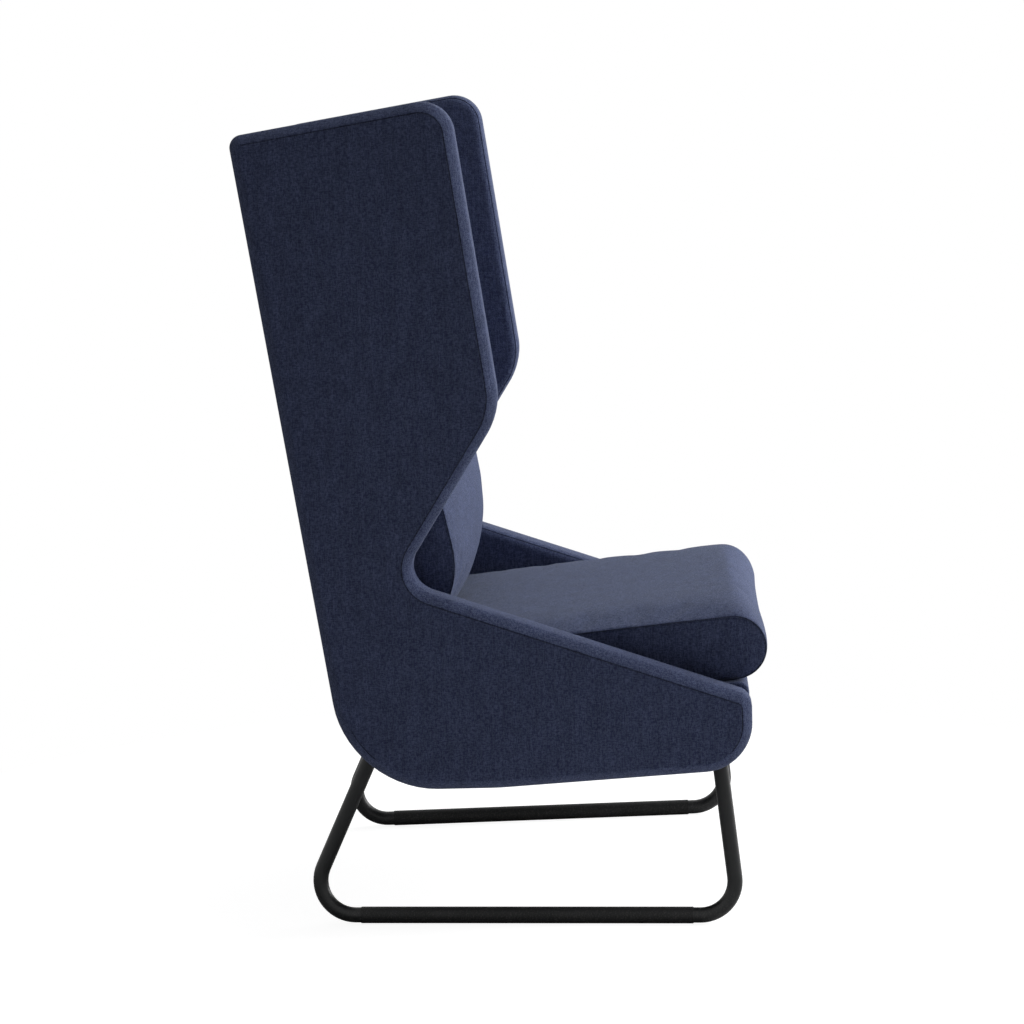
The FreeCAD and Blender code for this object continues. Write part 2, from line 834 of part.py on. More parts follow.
def cushion_section(x, corners, place_point):
    """A closed section in the plane X = x.

    Each corner is a pair in the cushion's own directions and the bow of the
    stretch that follows it: 0 for a straight line, or how far an arc stands
    out from its chord.
    """
    edges = []
    for index, (across, up, bow) in enumerate(corners):
        next_across, next_up = corners[(index + 1) % len(corners)][:2]
        start = place_point(x, across, up)
        end = place_point(x, next_across, next_up)
        if bow == 0:
            edges.append(Part.LineSegment(start, end).toShape())
            continue
        run, rise = next_across - across, next_up - up
        chord = math.hypot(run, rise)
        middle_across = (across + next_across) / 2 + bow * rise / chord
        middle_up = (up + next_up) / 2 - bow * run / chord
        middle = place_point(x, middle_across, middle_up)
        edges.append(Part.Arc(start, middle, end).toShape())
    return Part.Wire(edges)


def cushion(width, section):
    """A cushion lofted from seam to seam, with a drawn-in gusset at each end."""
    half = width / 2
    stations = [half * share for share in LOFT_SHARES]
    body = Part.makeLoft([section(x, 1 - (x / half) ** 2, 0) for x in stations], True, False)
    draw = size("gusset_draw")
    for sign in (-1, 1):
        seam = section(sign * half, 0, 0)
        swell = section(sign * (half + size("gusset_bulge")), 0, draw)
        body = body.fuse(Part.makeLoft([seam, swell], True, True))
    return body


slope = math.radians(size("seat_slope"))
lean = math.radians(size("lean"))


def on_seat(x, along, up):
    """A point given along the seat from its front and square to its slope."""
    y = size("cushion_front_y") + along * math.cos(slope) + up * math.sin(slope)
    z = size("cushion_front_z") - along * math.sin(slope) + up * math.cos(slope)
    return vector(x, y, z)


def seat_length():
    """From the middle of the nose to the rear face, clear of the inside of the back."""
    foot_y, foot_z = deck_meets_back("deck_top_drop")
    run = foot_y - size("cushion_front_y")
    drop = size("cushion_front_z") - foot_z
    return run * math.cos(slope) + drop * math.sin(slope) - size("seat_back_gap")


def seat_section(x, share, draw):
    """The seat cushion cut lengthwise: base, rear, crowned top and rounded nose."""
    low = draw
    high = size("seat_cushion_thickness") - draw
    middle = (low + high) / 2
    rear = seat_length() - draw
    turn = size("seat_rear_round")
    nose = (high - low) / 2 + size("nose_bulge") * share
    lift = size("seat_front_crown") * share
    crown = size("seam_crown") + (size("seat_crown") - size("seam_crown")) * share
    corners = [
        (0, low, 0),
        (rear - turn, low, turn * QUARTER_BOW),
        (rear, low + turn, 0),
        (rear, high - turn, turn * QUARTER_BOW),
        (rear - turn, high, crown - lift / 2),
        (0, high + lift, (nose + lift / 2) * QUARTER_BOW),
        (-nose, middle, nose * QUARTER_BOW),
    ]
    return cushion_section(x, corners, on_seat)


def back_cushion_foot():
    """Where the back cushion's rear face starts, over the seat cushion's crown."""
    lift = size("seat_cushion_thickness") + size("seat_crown") + size("cushion_gap")
    start = on_seat(0, 0, lift)
    rear_foot = point_on_back("0", "inner_back_depth + back_cushion_rest_gap")
    return meeting(rear_foot, (math.tan(lean), 1.0), (start.y, start.z), (math.cos(slope), -math.sin(slope)))


cushion_foot = back_cushion_foot()


def on_back_cushion(x, forward, up):
    """A point given forwards from the back and up along its lean."""
    y = cushion_foot[0] + up * math.sin(lean) - forward * math.cos(lean)
    z = cushion_foot[1] + up * math.cos(lean) + forward * math.sin(lean)
    return vector(x, y, z)


def back_section(x, share, draw):
    """The back cushion cut from front to rear: flat rear, crowned front, rounded ends."""
    high = size("back_cushion_height") - draw
    crown = size("back_cushion_crown") * share
    belly = size("back_cushion_depth") - draw
    brow = size("back_cushion_top_depth") - draw + crown / 2
    low_round = size("back_cushion_low_round")
    top_round = size("back_cushion_top_round")
    dip = math.tan(lean - slope)
    chin = belly - low_round * CHIN_SETBACK + crown * CHIN_CROWN
    chin_up = draw - chin * dip
    face = belly - low_round * FACE_SETBACK + crown * FACE_CROWN
    corners = [
        (draw, draw - draw * dip, 0),
        (chin, chin_up, low_round * CHIN_BOW),
        (face, chin_up + low_round, low_round * FACE_BOW + crown * FACE_CROWN),
        (brow, high - top_round, top_round * QUARTER_BOW),
        (brow - top_round, high, 0),
        (draw + top_round / 2, high, top_round / 2 * QUARTER_BOW),
        (draw, high - top_round / 2, 0),
    ]
    return cushion_section(x, corners, on_back_cushion)


solid_part("seat_cushion", cushion(size("seat_cushion_width"), seat_section))
solid_part("back_cushion", cushion(size("back_cushion_width"), back_section))

# Sled base: each side is a bent tube in one plane, leaning in towards its top


def sled_rotation(sign, leaning=True):
    """Turn a piece drawn along X, up Z, to lie along a rail, level or in the leaning plane."""
    toe = math.radians(size("toe_out"))
    tilt = math.radians(size("splay")) if leaning else 0.0
    along = vector(-sign * math.sin(toe), math.cos(toe), 0)
    inward = vector(-sign * math.cos(toe), -math.sin(toe), 0)
    up = vector(0, 0, math.cos(tilt)) + inward * math.sin(tilt)
    across = up.cross(along)
    return FreeCAD.Rotation(along, across, up, "XZY")


def tube_route():
    """The middle line of a sled tube in its own plane, up past its mount bar."""
    rise = size("leg_rise") + size("tube_diameter")
    slant = rise / math.cos(math.radians(size("splay")))
    front = -size("rail_front_corner")
    rear = size("rail_rear_corner")
    front_top = front + rise * math.tan(math.radians(size("front_leg_angle")))
    rear_top = rear - rise * math.tan(math.radians(size("rear_leg_angle")))
    return [(front_top, slant), (front, 0.0), (rear, 0.0), (rear_top, slant)]


def route_wire(route, radius):
    """Straight runs joined by tangent arcs in the XZ plane."""
    corners = [vector(a, 0, b) for a, b in route]
    edges = []
    start = corners[0]
    for index in range(1, len(corners) - 1):
        corner = corners[index]
        back = (corners[index - 1] - corner).normalize()
        ahead = (corners[index + 1] - corner).normalize()
        half_angle = back.getAngle(ahead) / 2
        reach = radius / math.tan(half_angle)
        middle = corner + (back + ahead).normalize() * (radius / math.sin(half_angle) - radius)
        edges.append(Part.LineSegment(start, corner + back * reach).toShape())
        edges.append(Part.Arc(corner + back * reach, middle, corner + ahead * reach).toShape())
        start = corner + ahead * reach
    edges.append(Part.LineSegment(start, corners[-1]).toShape())
    return Part.Wire(edges)


def sled_tube():
    """A bent tube, drawn in its own plane."""
    route = tube_route()
    path = route_wire(route, size("tube_bend_radius"))
    start = path.Edges[0]
    direction = start.tangentAt(start.FirstParameter)
    origin = vector(route[0][0], 0, route[0][1])
    solids = []
    for radius in (size("tube_diameter") / 2, size("tube_diameter") / 2 - size("tube_wall")):
        ring = Part.Wire(Part.makeCircle(radius, origin, direction))
        solids.append(path.makePipeShell([ring], True, False))
    return solids[0].cut(solids[1])


def rail_base(sign):
    """The middle of a rail's axis."""
    return vector(sign * size("rail_half_spread"), size("rail_middle_y"), size("tube_centre_z"))


def sled(side, sign):
    """A sled tube set in place and cut off level under its mount bar."""
    tube = sled_tube()
    tube.Placement = FreeCAD.Placement(rail_base(sign), sled_rotation(sign))
    reach = size("overall_width")
    mount_bottom = size("mount_bottom")
    above = Part.makeBox(2 * reach, 2 * reach, reach, vector(-reach, -reach, mount_bottom))
    return solid_part("sled_" + side, main_solid(tube.cut(above)))


def runner_sleeve(side, sign):
    """A plastic sleeve round the straight of a rail, with a narrow flat that stands on the floor."""
    body = new_body("runner_sleeve_" + side)
    sketch = new_sketch(body, body.Name + "_ring", "YZ_Plane")
    add_circle(sketch, "0", "0", "sleeve_diameter / 2")
    add_circle(sketch, "0", "0", "tube_diameter / 2")
    pad(body, sketch, "sleeve_length", both_ways=True)
    flat = new_sketch(body, body.Name + "_flat", "YZ_Plane")
    half = "sleeve_diameter / 2"
    floor = "-tube_centre_z"
    add_polygon(flat, [("-" + half, "-" + half), (half, "-" + half), (half, floor), ("-" + half, floor)])
    pocket(body, flat, "2 * sleeve_length", both_ways=True)
    body.Placement = FreeCAD.Placement(rail_base(sign), sled_rotation(sign, leaning=False))
    place(body, "%d * rail_half_spread" % sign, "rail_middle_y", "tube_centre_z")
    return body


def mount_bar(side, sign):
    """A flat bar on the two leg tops, bored for its bolts."""
    body = new_body("mount_bar_" + side)
    plan = new_sketch(body, body.Name + "_plan", "XY_Plane")
    reach = "tube_diameter / 2 + mount_bar_overhang"
    half = "mount_bar_width / 2"
    toe = "cos(toe_out * 1deg)"
    corners = [
        ("-front_leg_top - (%s)" % reach, "-" + half),
        ("rear_leg_top + %s" % reach, "-" + half),
        ("rear_leg_top + %s" % reach, half),
        ("-front_leg_top - (%s)" % reach, half),
    ]
    add_polygon(plan, corners)
    for end in ("front", "rear"):
        run = "(bolt_%s_y - rail_middle_y) / %s + bar_inset * tan(toe_out * 1deg)" % (end, toe)
        add_circle(plan, run, "0", "(bolt_diameter + bolt_clearance) / 2")
    pad(body, plan, "mount_bar_thickness")
    body.Placement = FreeCAD.Placement(vector(0, 0, 0), sled_rotation(sign, leaning=False))
    place(
        body,
        "%d * (rail_half_spread - bar_inset * %s)" % (sign, toe),
        "rail_middle_y - bar_inset * sin(toe_out * 1deg)",
        "mount_bottom",
    )
    return body


def cross_bar(end):
    """A rectangular tube that ties the mount bars together under them."""
    body = new_body("cross_bar_" + end)
    profile = new_sketch(body, body.Name + "_profile", "YZ_Plane")
    middle = "cross_bar_%s_y" % end
    for inset in ("0", "cross_bar_wall"):
        front = "%s - cross_bar_width / 2 + %s" % (middle, inset)
        rear = "%s + cross_bar_width / 2 - %s" % (middle, inset)
        low = "mount_bottom - cross_bar_height + " + inset
        high = "mount_bottom - " + inset
        add_polygon(profile, [(front, low), (rear, low), (rear, high), (front, high)])
    run = "(%s - rail_middle_y) * tan(toe_out * 1deg)" % middle
    pad(body, profile, "2 * (rail_half_spread - bar_inset - %s)" % run, both_ways=True)
    return body


def bolt(end, side, sign):
    """A hexagon bolt up through the mount bar, its washer and the insert in the block."""
    x = bolt_x(end, sign)
    y = "bolt_%s_y" % end
    name = "%s_%s" % (end, side)
    screw = new_body("base_bolt_" + name)
    head = new_sketch(screw, screw.Name + "_head", "XY_Plane")
    corner = "bolt_head_width / 2 / cos(30 * 1deg)"
    hexagon = []
    for turn in range(6):
        angle = "(%d * 1deg)" % (60 * turn)
        hexagon.append(("%s * cos%s" % (corner, angle), "%s * sin%s" % (corner, angle)))
    add_polygon(head, hexagon)
    pad(screw, head, "bolt_head_height", downward=True)
    shank = new_sketch(screw, screw.Name + "_shank", "XY_Plane")
    add_circle(shank, "0", "0", "bolt_diameter / 2")
    pad(screw, shank, "bolt_length")
    place(screw, x, y, "mount_bottom - washer_thickness")
    washer = new_body("base_washer_" + name)
    ring = new_sketch(washer, washer.Name + "_ring", "XY_Plane")
    add_circle(ring, "0", "0", "washer_diameter / 2")
    add_circle(ring, "0", "0", "(bolt_diameter + bolt_clearance) / 2")
    pad(washer, ring, "washer_thickness")
    place(washer, x, y, "mount_bottom - washer_thickness")
    insert = new_body("threaded_insert_" + name)
    ring = new_sketch(insert, insert.Name + "_ring", "XY_Plane")
    add_circle(ring, "0", "0", "insert_diameter / 2")
    add_circle(ring, "0", "0", "bolt_diameter / 2")
    pad(insert, ring, "insert_length")
    place(insert, x, y, "flap_underside")


for side, sign in (("left", -1), ("right", 1)):
    sled(side, sign)
    runner_sleeve(side, sign)
    mount_bar(side, sign)
for end in ("front", "rear"):
    cross_bar(end)
    for side, sign in (("left", -1), ("right", 1)):
        bolt(end, side, sign)

# Check every object and write each piece

doc.recompute()
for item in doc.Objects:
    if "Invalid" in item.State or "Error" in item.State:
        raise RuntimeError("%s is %s" % (item.Label, item.State))
for item in nodes:
    if item.Shape.isNull() or not item.Shape.isValid():
        raise RuntimeError("%s has no valid shape" % item.Label)
os.makedirs("parts", exist_ok=True)
for item in nodes:
    item.Shape.exportStep("parts/%s.step" % item.Label)
print("%d pieces written" % len(nodes))
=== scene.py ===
# %% [markdown]
# Acoustic high back lounge chair. Two padded side panels hold a padded back and a seat
# frame between them, a seat cushion and a back cushion lie loose inside, and a sled base
# bent from round tube carries it all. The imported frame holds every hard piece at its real
# size, so this file loads it first and then dresses it, piece by piece.

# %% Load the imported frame
import json
import math

import bmesh
import bpy
import mathutils.kdtree
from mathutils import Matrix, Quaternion, Vector

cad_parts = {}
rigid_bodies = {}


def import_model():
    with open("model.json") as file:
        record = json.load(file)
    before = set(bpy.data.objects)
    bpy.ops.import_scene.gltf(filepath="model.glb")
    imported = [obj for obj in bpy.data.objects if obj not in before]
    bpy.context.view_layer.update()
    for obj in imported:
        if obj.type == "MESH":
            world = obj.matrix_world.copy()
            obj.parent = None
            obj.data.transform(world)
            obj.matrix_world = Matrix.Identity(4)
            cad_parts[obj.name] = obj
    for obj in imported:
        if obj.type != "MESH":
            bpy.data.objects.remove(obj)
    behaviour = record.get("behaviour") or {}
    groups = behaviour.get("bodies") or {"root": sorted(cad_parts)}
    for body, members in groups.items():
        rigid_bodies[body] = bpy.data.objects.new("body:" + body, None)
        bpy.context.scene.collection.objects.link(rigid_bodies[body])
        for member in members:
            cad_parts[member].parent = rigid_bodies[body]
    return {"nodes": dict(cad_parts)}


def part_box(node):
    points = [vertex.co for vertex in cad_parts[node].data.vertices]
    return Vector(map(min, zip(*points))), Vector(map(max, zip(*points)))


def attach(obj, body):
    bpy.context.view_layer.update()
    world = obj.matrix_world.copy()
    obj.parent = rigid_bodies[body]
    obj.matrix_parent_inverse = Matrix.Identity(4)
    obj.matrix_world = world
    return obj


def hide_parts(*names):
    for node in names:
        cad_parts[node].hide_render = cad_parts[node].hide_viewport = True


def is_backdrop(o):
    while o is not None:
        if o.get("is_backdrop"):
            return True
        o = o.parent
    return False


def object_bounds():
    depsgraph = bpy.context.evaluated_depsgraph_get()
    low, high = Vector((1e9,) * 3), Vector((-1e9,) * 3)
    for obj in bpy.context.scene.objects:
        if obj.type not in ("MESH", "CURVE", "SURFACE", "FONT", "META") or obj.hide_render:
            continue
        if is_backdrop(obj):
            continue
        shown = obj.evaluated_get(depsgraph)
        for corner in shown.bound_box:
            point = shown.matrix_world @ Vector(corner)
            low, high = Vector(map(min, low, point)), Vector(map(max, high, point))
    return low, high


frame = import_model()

cad_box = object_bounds()
print("frame: %d nodes, box from %s to %s" % (len(frame["nodes"]), tuple(cad_box[0]), tuple(cad_box[1])))

# %% [markdown]
# The photograph looks at the chair's side from a little above the middle, with a long lens.
# A camera could be placed by eye, but lines that are level on the real chair, such as the
# floor rails, give its place and tilt exactly. Only the place, the point that it looks at,
# a small roll and the focal length are needed.

# %% Camera
CAMERA_PLACE = Vector((-4.4388, -0.2157, 1.2255))
CAMERA_LOOKS_AT = Vector((0.0049, 0.0107, 0.5526))
CAMERA_ROLL = math.radians(-1.92)

camera_data = bpy.data.cameras.new("camera")
camera_data.lens = 104.77
camera_data.sensor_width = 36
camera = bpy.data.objects.new("camera", camera_data)
bpy.context.scene.collection.objects.link(camera)
camera.location = CAMERA_PLACE
aim = (CAMERA_LOOKS_AT - CAMERA_PLACE).to_track_quat("-Z", "Y")
camera.rotation_mode = "QUATERNION"
camera.rotation_quaternion = aim @ Quaternion((0, 0, 1), CAMERA_ROLL)
bpy.context.scene.camera = camera
bpy.context.scene.view_settings.view_transform = "Standard"
print("camera %.2f m from the chair" % (CAMERA_LOOKS_AT - CAMERA_PLACE).length)

# %% [markdown]
# Operators work on whatever is selected, in the mode that is open. These few helpers keep
# that in order: one chooses a piece, one opens it with nothing in it selected, one picks
# elements by their place, and one closes the piece again.

# %% Helpers for modelling
SAME_PLACE = 2e-5


def deselect():
    """Leave nothing selected."""
    bpy.ops.object.select_all(action="DESELECT")


def choose(piece):
    """Make one piece the only one selected, and the active one."""
    deselect()
    piece.select_set(True)
    bpy.context.view_layer.objects.active = piece


def open_piece(piece, kind="EDGE"):
    """Open one piece in edit mode with nothing in it selected."""
    choose(piece)
    bpy.ops.object.mode_set(mode="EDIT")
    bpy.ops.mesh.select_mode(type=kind)
    bpy.ops.mesh.select_all(action="DESELECT")


def close_piece():
    bpy.ops.object.mode_set(mode="OBJECT")


def pick(piece, kind, test):
    """Select the verts, edges or faces of the open piece that pass a test."""
    mesh = bmesh.from_edit_mesh(piece.data)
    bpy.ops.mesh.select_mode(type={"verts": "VERT", "edges": "EDGE", "faces": "FACE"}[kind])
    bpy.ops.mesh.select_all(action="DESELECT")
    chosen = [element for element in getattr(mesh, kind) if test(element)]
    for element in chosen:
        element.select_set(True)
    bmesh.update_edit_mesh(piece.data, loop_triangles=False, destructive=False)
    return len(chosen)


def at_x(element, x):
    """Whether a vertex, edge or face lies in the plane X = x."""
    points = [element.co] if hasattr(element, "co") else [vertex.co for vertex in element.verts]
    return all(abs(point.x - x) < SAME_PLACE for point in points)


def settle(piece, smooth_angle=50):
    """Put a finished piece at the origin, with its place in its mesh, and smooth it."""
    choose(piece)
    bpy.ops.object.transform_apply(location=True, rotation=True, scale=True)
    bpy.ops.object.shade_smooth_by_angle(angle=math.radians(smooth_angle))
    return piece


def apply_modifiers(piece):
    choose(piece)
    for name in [modifier.name for modifier in piece.modifiers]:
        bpy.ops.object.modifier_apply(modifier=name)


# %% [markdown]
# Padded boards, the back and both cushions share one way of making: a flat outline is drawn
# in the side view, its corners are rounded, and it is extruded across the chair. The outline
# is drawn as one vertex extruded from corner to corner. A vertex bevel then rounds each
# corner, reaching along both edges by the length that the radius asks for.

# %% Outlines in the side view
CLOTH_SLOT = 0
SEAM_SLOT = 1
QUARTER_CIRCLE = 0.5
FEWEST_STEPS = 4
DEGREES_PER_STEP = 6


def draw_outline(name, x, corners):
    """A filled polygon in the plane X = x through (y, z, radius) corners, with round corners."""
    deselect()
    bpy.ops.mesh.primitive_plane_add(size=0.01, location=(x, corners[0][0], corners[0][1]))
    piece = bpy.context.object
    piece.name = name
    piece.data.name = name
    bpy.ops.object.material_slot_add()
    bpy.ops.object.material_slot_add()
    piece.active_material_index = CLOTH_SLOT
    open_piece(piece, "VERT")
    bpy.ops.mesh.select_all(action="SELECT")
    bpy.ops.mesh.merge(type="CENTER")
    for before, after in zip(corners, corners[1:]):
        step = (0, after[0] - before[0], after[1] - before[1])
        bpy.ops.mesh.extrude_region_move(TRANSFORM_OT_translate={"value": step})
    bpy.ops.mesh.select_all(action="SELECT")
    bpy.ops.mesh.edge_face_add()
    close_piece()
    settle(piece)
    for index, (y, z, radius) in enumerate(corners):
        round_corner(piece, corners[index - 1], (y, z), corners[(index + 1) % len(corners)], radius)
    return piece


def round_corner(piece, before, corner, after, radius):
    """Round one corner of an outline to a radius."""
    if radius == 0:
        return
    here = Vector(corner[:2])
    back = Vector(before[:2]) - here
    ahead = Vector(after[:2]) - here
    turn = math.pi - back.angle(ahead)
    steps = max(FEWEST_STEPS, round(math.degrees(turn) / DEGREES_PER_STEP))
    open_piece(piece, "VERT")
    pick(piece, "verts", lambda v: (Vector((v.co.y, v.co.z)) - here).length < SAME_PLACE)
    bpy.ops.mesh.bevel(
        affect="VERTICES",
        offset=radius * math.tan(turn / 2),
        segments=steps,
        profile=QUARTER_CIRCLE,
        clamp_overlap=False,
    )
    close_piece()


def extrude_across(piece, width):
    """Extrude a flat outline along X into a solid."""
    open_piece(piece, "FACE")
    bpy.ops.mesh.select_all(action="SELECT")
    bpy.ops.mesh.extrude_region_move(TRANSFORM_OT_translate={"value": (width, 0, 0)})
    bpy.ops.mesh.select_all(action="SELECT")
    bpy.ops.mesh.normals_make_consistent(inside=False)
    close_piece()


def round_rim(piece, x, radius, steps=8, fullness=QUARTER_CIRCLE):
    """Round the edge all round the flat end of a piece at X = x.

    A fullness of 0.5 is a quarter circle, and 0.25 a straight slope.
    """
    open_piece(piece)
    pick(piece, "edges", lambda e: at_x(e, x))
    bpy.ops.mesh.bevel(offset=radius, segments=steps, profile=fullness, clamp_overlap=False)
    close_piece()


def sew(piece, on_seam, half_width, depth, ends=None):
    """Press a seam into a piece along the edges that pass a test.

    The edge line is bevelled into two narrow strips, which take a darker finish: painted
    shade in the seam's groove. Their middle line is drawn inwards, only where ends allows
    it, so that a seam can run out.
    """
    open_piece(piece)
    pick(piece, "edges", on_seam)
    bpy.ops.mesh.bevel(offset=half_width, segments=2, profile=QUARTER_CIRCLE, clamp_overlap=False)
    mesh = bmesh.from_edit_mesh(piece.data)
    for face in mesh.faces:
        if face.select and (ends is None or ends(face.calc_center_median())):
            # The seam strips take the darker finish: painted shade in the groove.
            face.material_index = SEAM_SLOT
    bmesh.update_edit_mesh(piece.data, loop_triangles=False, destructive=False)
    bpy.ops.mesh.select_mode(type="VERT")
    bpy.ops.mesh.select_less()
    if ends is not None:
        mesh = bmesh.from_edit_mesh(piece.data)
        for vertex in mesh.verts:
            if vertex.select and not ends(vertex.co):
                vertex.select_set(False)
        bmesh.update_edit_mesh(piece.data, loop_triangles=False, destructive=False)
    bpy.ops.transform.shrink_fatten(value=-depth)
    close_piece()


# %% [markdown]
# A side panel is a plywood board with foam on both faces, pulled into a sewn cover. The
# cover's outer seam runs just inside the edge, along the top, down the wing, round the waist
# and along the arm to the front. The inner seam sits on the rounding of the other side. The
# cover could be three thin shells, but a closed form with the seams pressed into it shows
# the same and has no gaps. One panel is made and the other is its mirror image.

# %% Side panels
PANEL_CORNERS = [
    (0.235, 0.216, 0.145),
    (0.3645, 1.1355, 0.018),
    (0.061, 1.181, 0.046),
    (0.0038, 0.7474, 0.090),
    (0.154, 0.512, 0.040),
    (-0.334, 0.340, 0.022),
    (-0.334, 0.236, 0.070),
    (0.024, 0.216, 0.400),
]
EDGE_ROUND = 0.014
OUTER_EDGE_FULLNESS = 0.32
SEAM_HALF_WIDTH = 0.0009
SEAM_DEPTH = 0.0010
FLAT_MARGIN = 0.004
WRAP_REACH = 1.6

PANEL_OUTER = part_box("side_cover_left")[0].x
PANEL_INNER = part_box("side_inner_cover_left")[1].x
SEAM_START_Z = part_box("side_edge_band_left")[0].z


def beside_rear_or_foot(place):
    """Whether a point is by the rear edge or the underside, where the cover wraps round."""
    rear_corner, top_corner = PANEL_CORNERS[0], PANEL_CORNERS[1]
    share = (place.z - rear_corner[1]) / (top_corner[1] - rear_corner[1])
    rear_y = rear_corner[0] + share * (top_corner[0] - rear_corner[0])
    return place.y > rear_y - WRAP_REACH * EDGE_ROUND or place.z < SEAM_START_Z


def side_panel(name):
    panel = draw_outline(name, PANEL_OUTER, PANEL_CORNERS)
    extrude_across(panel, PANEL_INNER - PANEL_OUTER)
    for x, fullness in ((PANEL_OUTER, OUTER_EDGE_FULLNESS), (PANEL_INNER, QUARTER_CIRCLE)):
        round_rim(panel, x, EDGE_ROUND, fullness=fullness)
        open_piece(panel, "FACE")
        pick(panel, "faces", lambda f: at_x(f, x))
        bpy.ops.mesh.inset(thickness=FLAT_MARGIN, use_even_offset=True)
        close_piece()
    seam_line = lambda e: at_x(e, PANEL_OUTER) and any(not at_x(f, PANEL_OUTER) for f in e.link_faces)
    sew(panel, seam_line, SEAM_HALF_WIDTH, SEAM_DEPTH, lambda co: not beside_rear_or_foot(co))
    inner_line_x = PANEL_INNER - EDGE_ROUND * (1 - math.sqrt(0.5))
    sew(panel, lambda e: at_x(e, inner_line_x), SEAM_HALF_WIDTH, SEAM_DEPTH)
    return settle(panel)


def mirrored(piece, name):
    """A copy with its own mesh on the other side of the chair."""
    choose(piece)
    bpy.ops.object.duplicate()
    twin = bpy.context.object
    twin.name = name
    twin.data.name = name
    twin.scale = (-1, 1, 1)
    bpy.ops.object.transform_apply(location=True, rotation=True, scale=True)
    open_piece(twin, "FACE")
    bpy.ops.mesh.select_all(action="SELECT")
    bpy.ops.mesh.normals_make_consistent(inside=False)
    close_piece()
    return twin


left_panel = side_panel("side_panel_cover_left")
right_panel = mirrored(left_panel, "side_panel_cover_right")
for panel, side in ((left_panel, "left"), (right_panel, "right")):
    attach(panel, "chair")
    layers = ("side_cover_", "side_edge_band_", "side_inner_cover_", "side_outer_foam_", "side_inner_foam_")
    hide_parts(*[layer + side for layer in layers])
print("side panel: %d faces" % len(left_panel.data.polygons))

# %% [markdown]
# The back fills the space between the side panels and leans with their rear edges. Its
# cover wraps over the top and under the frame. It is one outline again, taken from the boxes
# of the frame's cover pieces, and its ends are rounded a little so that a valley shows where
# it meets each side panel.

# %% Back between the panels
VALLEY_ROUND = 0.004
VALLEY_STEPS = 4
COVER_SMOOTH_ANGLE = 40
BACK_RECESS = 0.002
BACK_THICKNESS = 0.070
BACK_LOW_RADIUS = 0.072
BACK_TOP_RADIUS = 0.014

lean = math.atan2(
    PANEL_CORNERS[1][0] - PANEL_CORNERS[0][0],
    PANEL_CORNERS[1][1] - PANEL_CORNERS[0][1],
)
top_fall = (PANEL_CORNERS[2][1] - PANEL_CORNERS[1][1]) / (PANEL_CORNERS[1][0] - PANEL_CORNERS[2][0])


def on_rear_line(z, depth):
    """How far back a plane lies that is depth inside the rear edge, at height z."""
    rear = PANEL_CORNERS[0][0] + math.tan(lean) * (z - PANEL_CORNERS[0][1])
    return rear - depth / math.cos(lean)


def back_top(depth):
    """Where that plane meets the line a little under the panels' top edges."""
    top = PANEL_CORNERS[1][1] - BACK_RECESS
    z = top + (PANEL_CORNERS[1][0] - on_rear_line(top, depth)) * top_fall
    z = top + (PANEL_CORNERS[1][0] - on_rear_line(z, depth)) * top_fall
    return on_rear_line(z, depth), z


inner_depth = BACK_RECESS + BACK_THICKNESS
flap_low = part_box("back_outer_cover")[0]
inner_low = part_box("back_inner_cover")[0]
deck_low, deck_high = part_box("deck_cover")
BACK_CORNERS = [
    (*back_top(BACK_RECESS), BACK_TOP_RADIUS),
    (*back_top(inner_depth), BACK_TOP_RADIUS),
    (on_rear_line(inner_low.z, inner_depth), inner_low.z, 0),
    (flap_low.y, inner_low.z, 0),
    (flap_low.y, flap_low.z, 0),
    (on_rear_line(flap_low.z, BACK_RECESS), flap_low.z, BACK_LOW_RADIUS),
]

back_cover = draw_outline("back_cover", PANEL_INNER, BACK_CORNERS)
extrude_across(back_cover, -2 * PANEL_INNER)
for x in (PANEL_INNER, -PANEL_INNER):
    round_rim(back_cover, x, VALLEY_ROUND, VALLEY_STEPS)
settle(back_cover, COVER_SMOOTH_ANGLE)
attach(back_cover, "chair")
BACK_LAYERS = ("outer_cover", "inner_cover", "top_band", "outer_foam", "inner_foam")
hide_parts(*["back_" + layer for layer in BACK_LAYERS])
print("back cover: %d faces" % len(back_cover.data.polygons))

# %% [markdown]
# The front of the seat frame is a timber rail with foam over it. Its cover turns in under the
# frame and runs back under the seat cushion. It has the same making as the back.

# %% Front cover
SEAT_SLOPE = math.radians(4.9)
FRONT_TOP_RADIUS = 0.016
FRONT_LOW_RADIUS = 0.025

front_low, front_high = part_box("front_cover")
front_lip_z = deck_high.z + math.tan(SEAT_SLOPE) * (deck_low.y - front_low.y)
FRONT_CORNERS = [
    (front_low.y, front_lip_z, FRONT_TOP_RADIUS),
    (front_high.y, deck_high.z, 0),
    (front_high.y, front_low.z, 0),
    (front_low.y, front_low.z, FRONT_LOW_RADIUS),
]
front_cover = draw_outline("front_rail_cover", PANEL_INNER, FRONT_CORNERS)
extrude_across(front_cover, -2 * PANEL_INNER)
for x in (PANEL_INNER, -PANEL_INNER):
    round_rim(front_cover, x, VALLEY_ROUND, VALLEY_STEPS)
settle(front_cover, COVER_SMOOTH_ANGLE)
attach(front_cover, "chair")
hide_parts("front_cover", "front_foam")
print("front cover: %d faces" % len(front_cover.data.polygons))

# %% [markdown]
# Under the loose seat cushion lies the deck: a thin pad on the webs, covered in dark lining
# cloth and stitched down along its border. It only shows when the cushion is lifted. A flat
# board would pass at a glance, but a real deck gives a little between its webs, so its top
# is cut into a fine grid and let down there, never above the line that it was drawn on.

# %% Seat deck
DECK_BORDER = 0.018
DECK_CUTS = 7
DECK_CUT_ROUNDS = 2
DECK_SAG = 0.004
DECK_RIPPLE = 0.0006
STITCH_HALF_WIDTH = 0.0009
STITCH_DEPTH = 0.0008
FACING_UP = 0.9

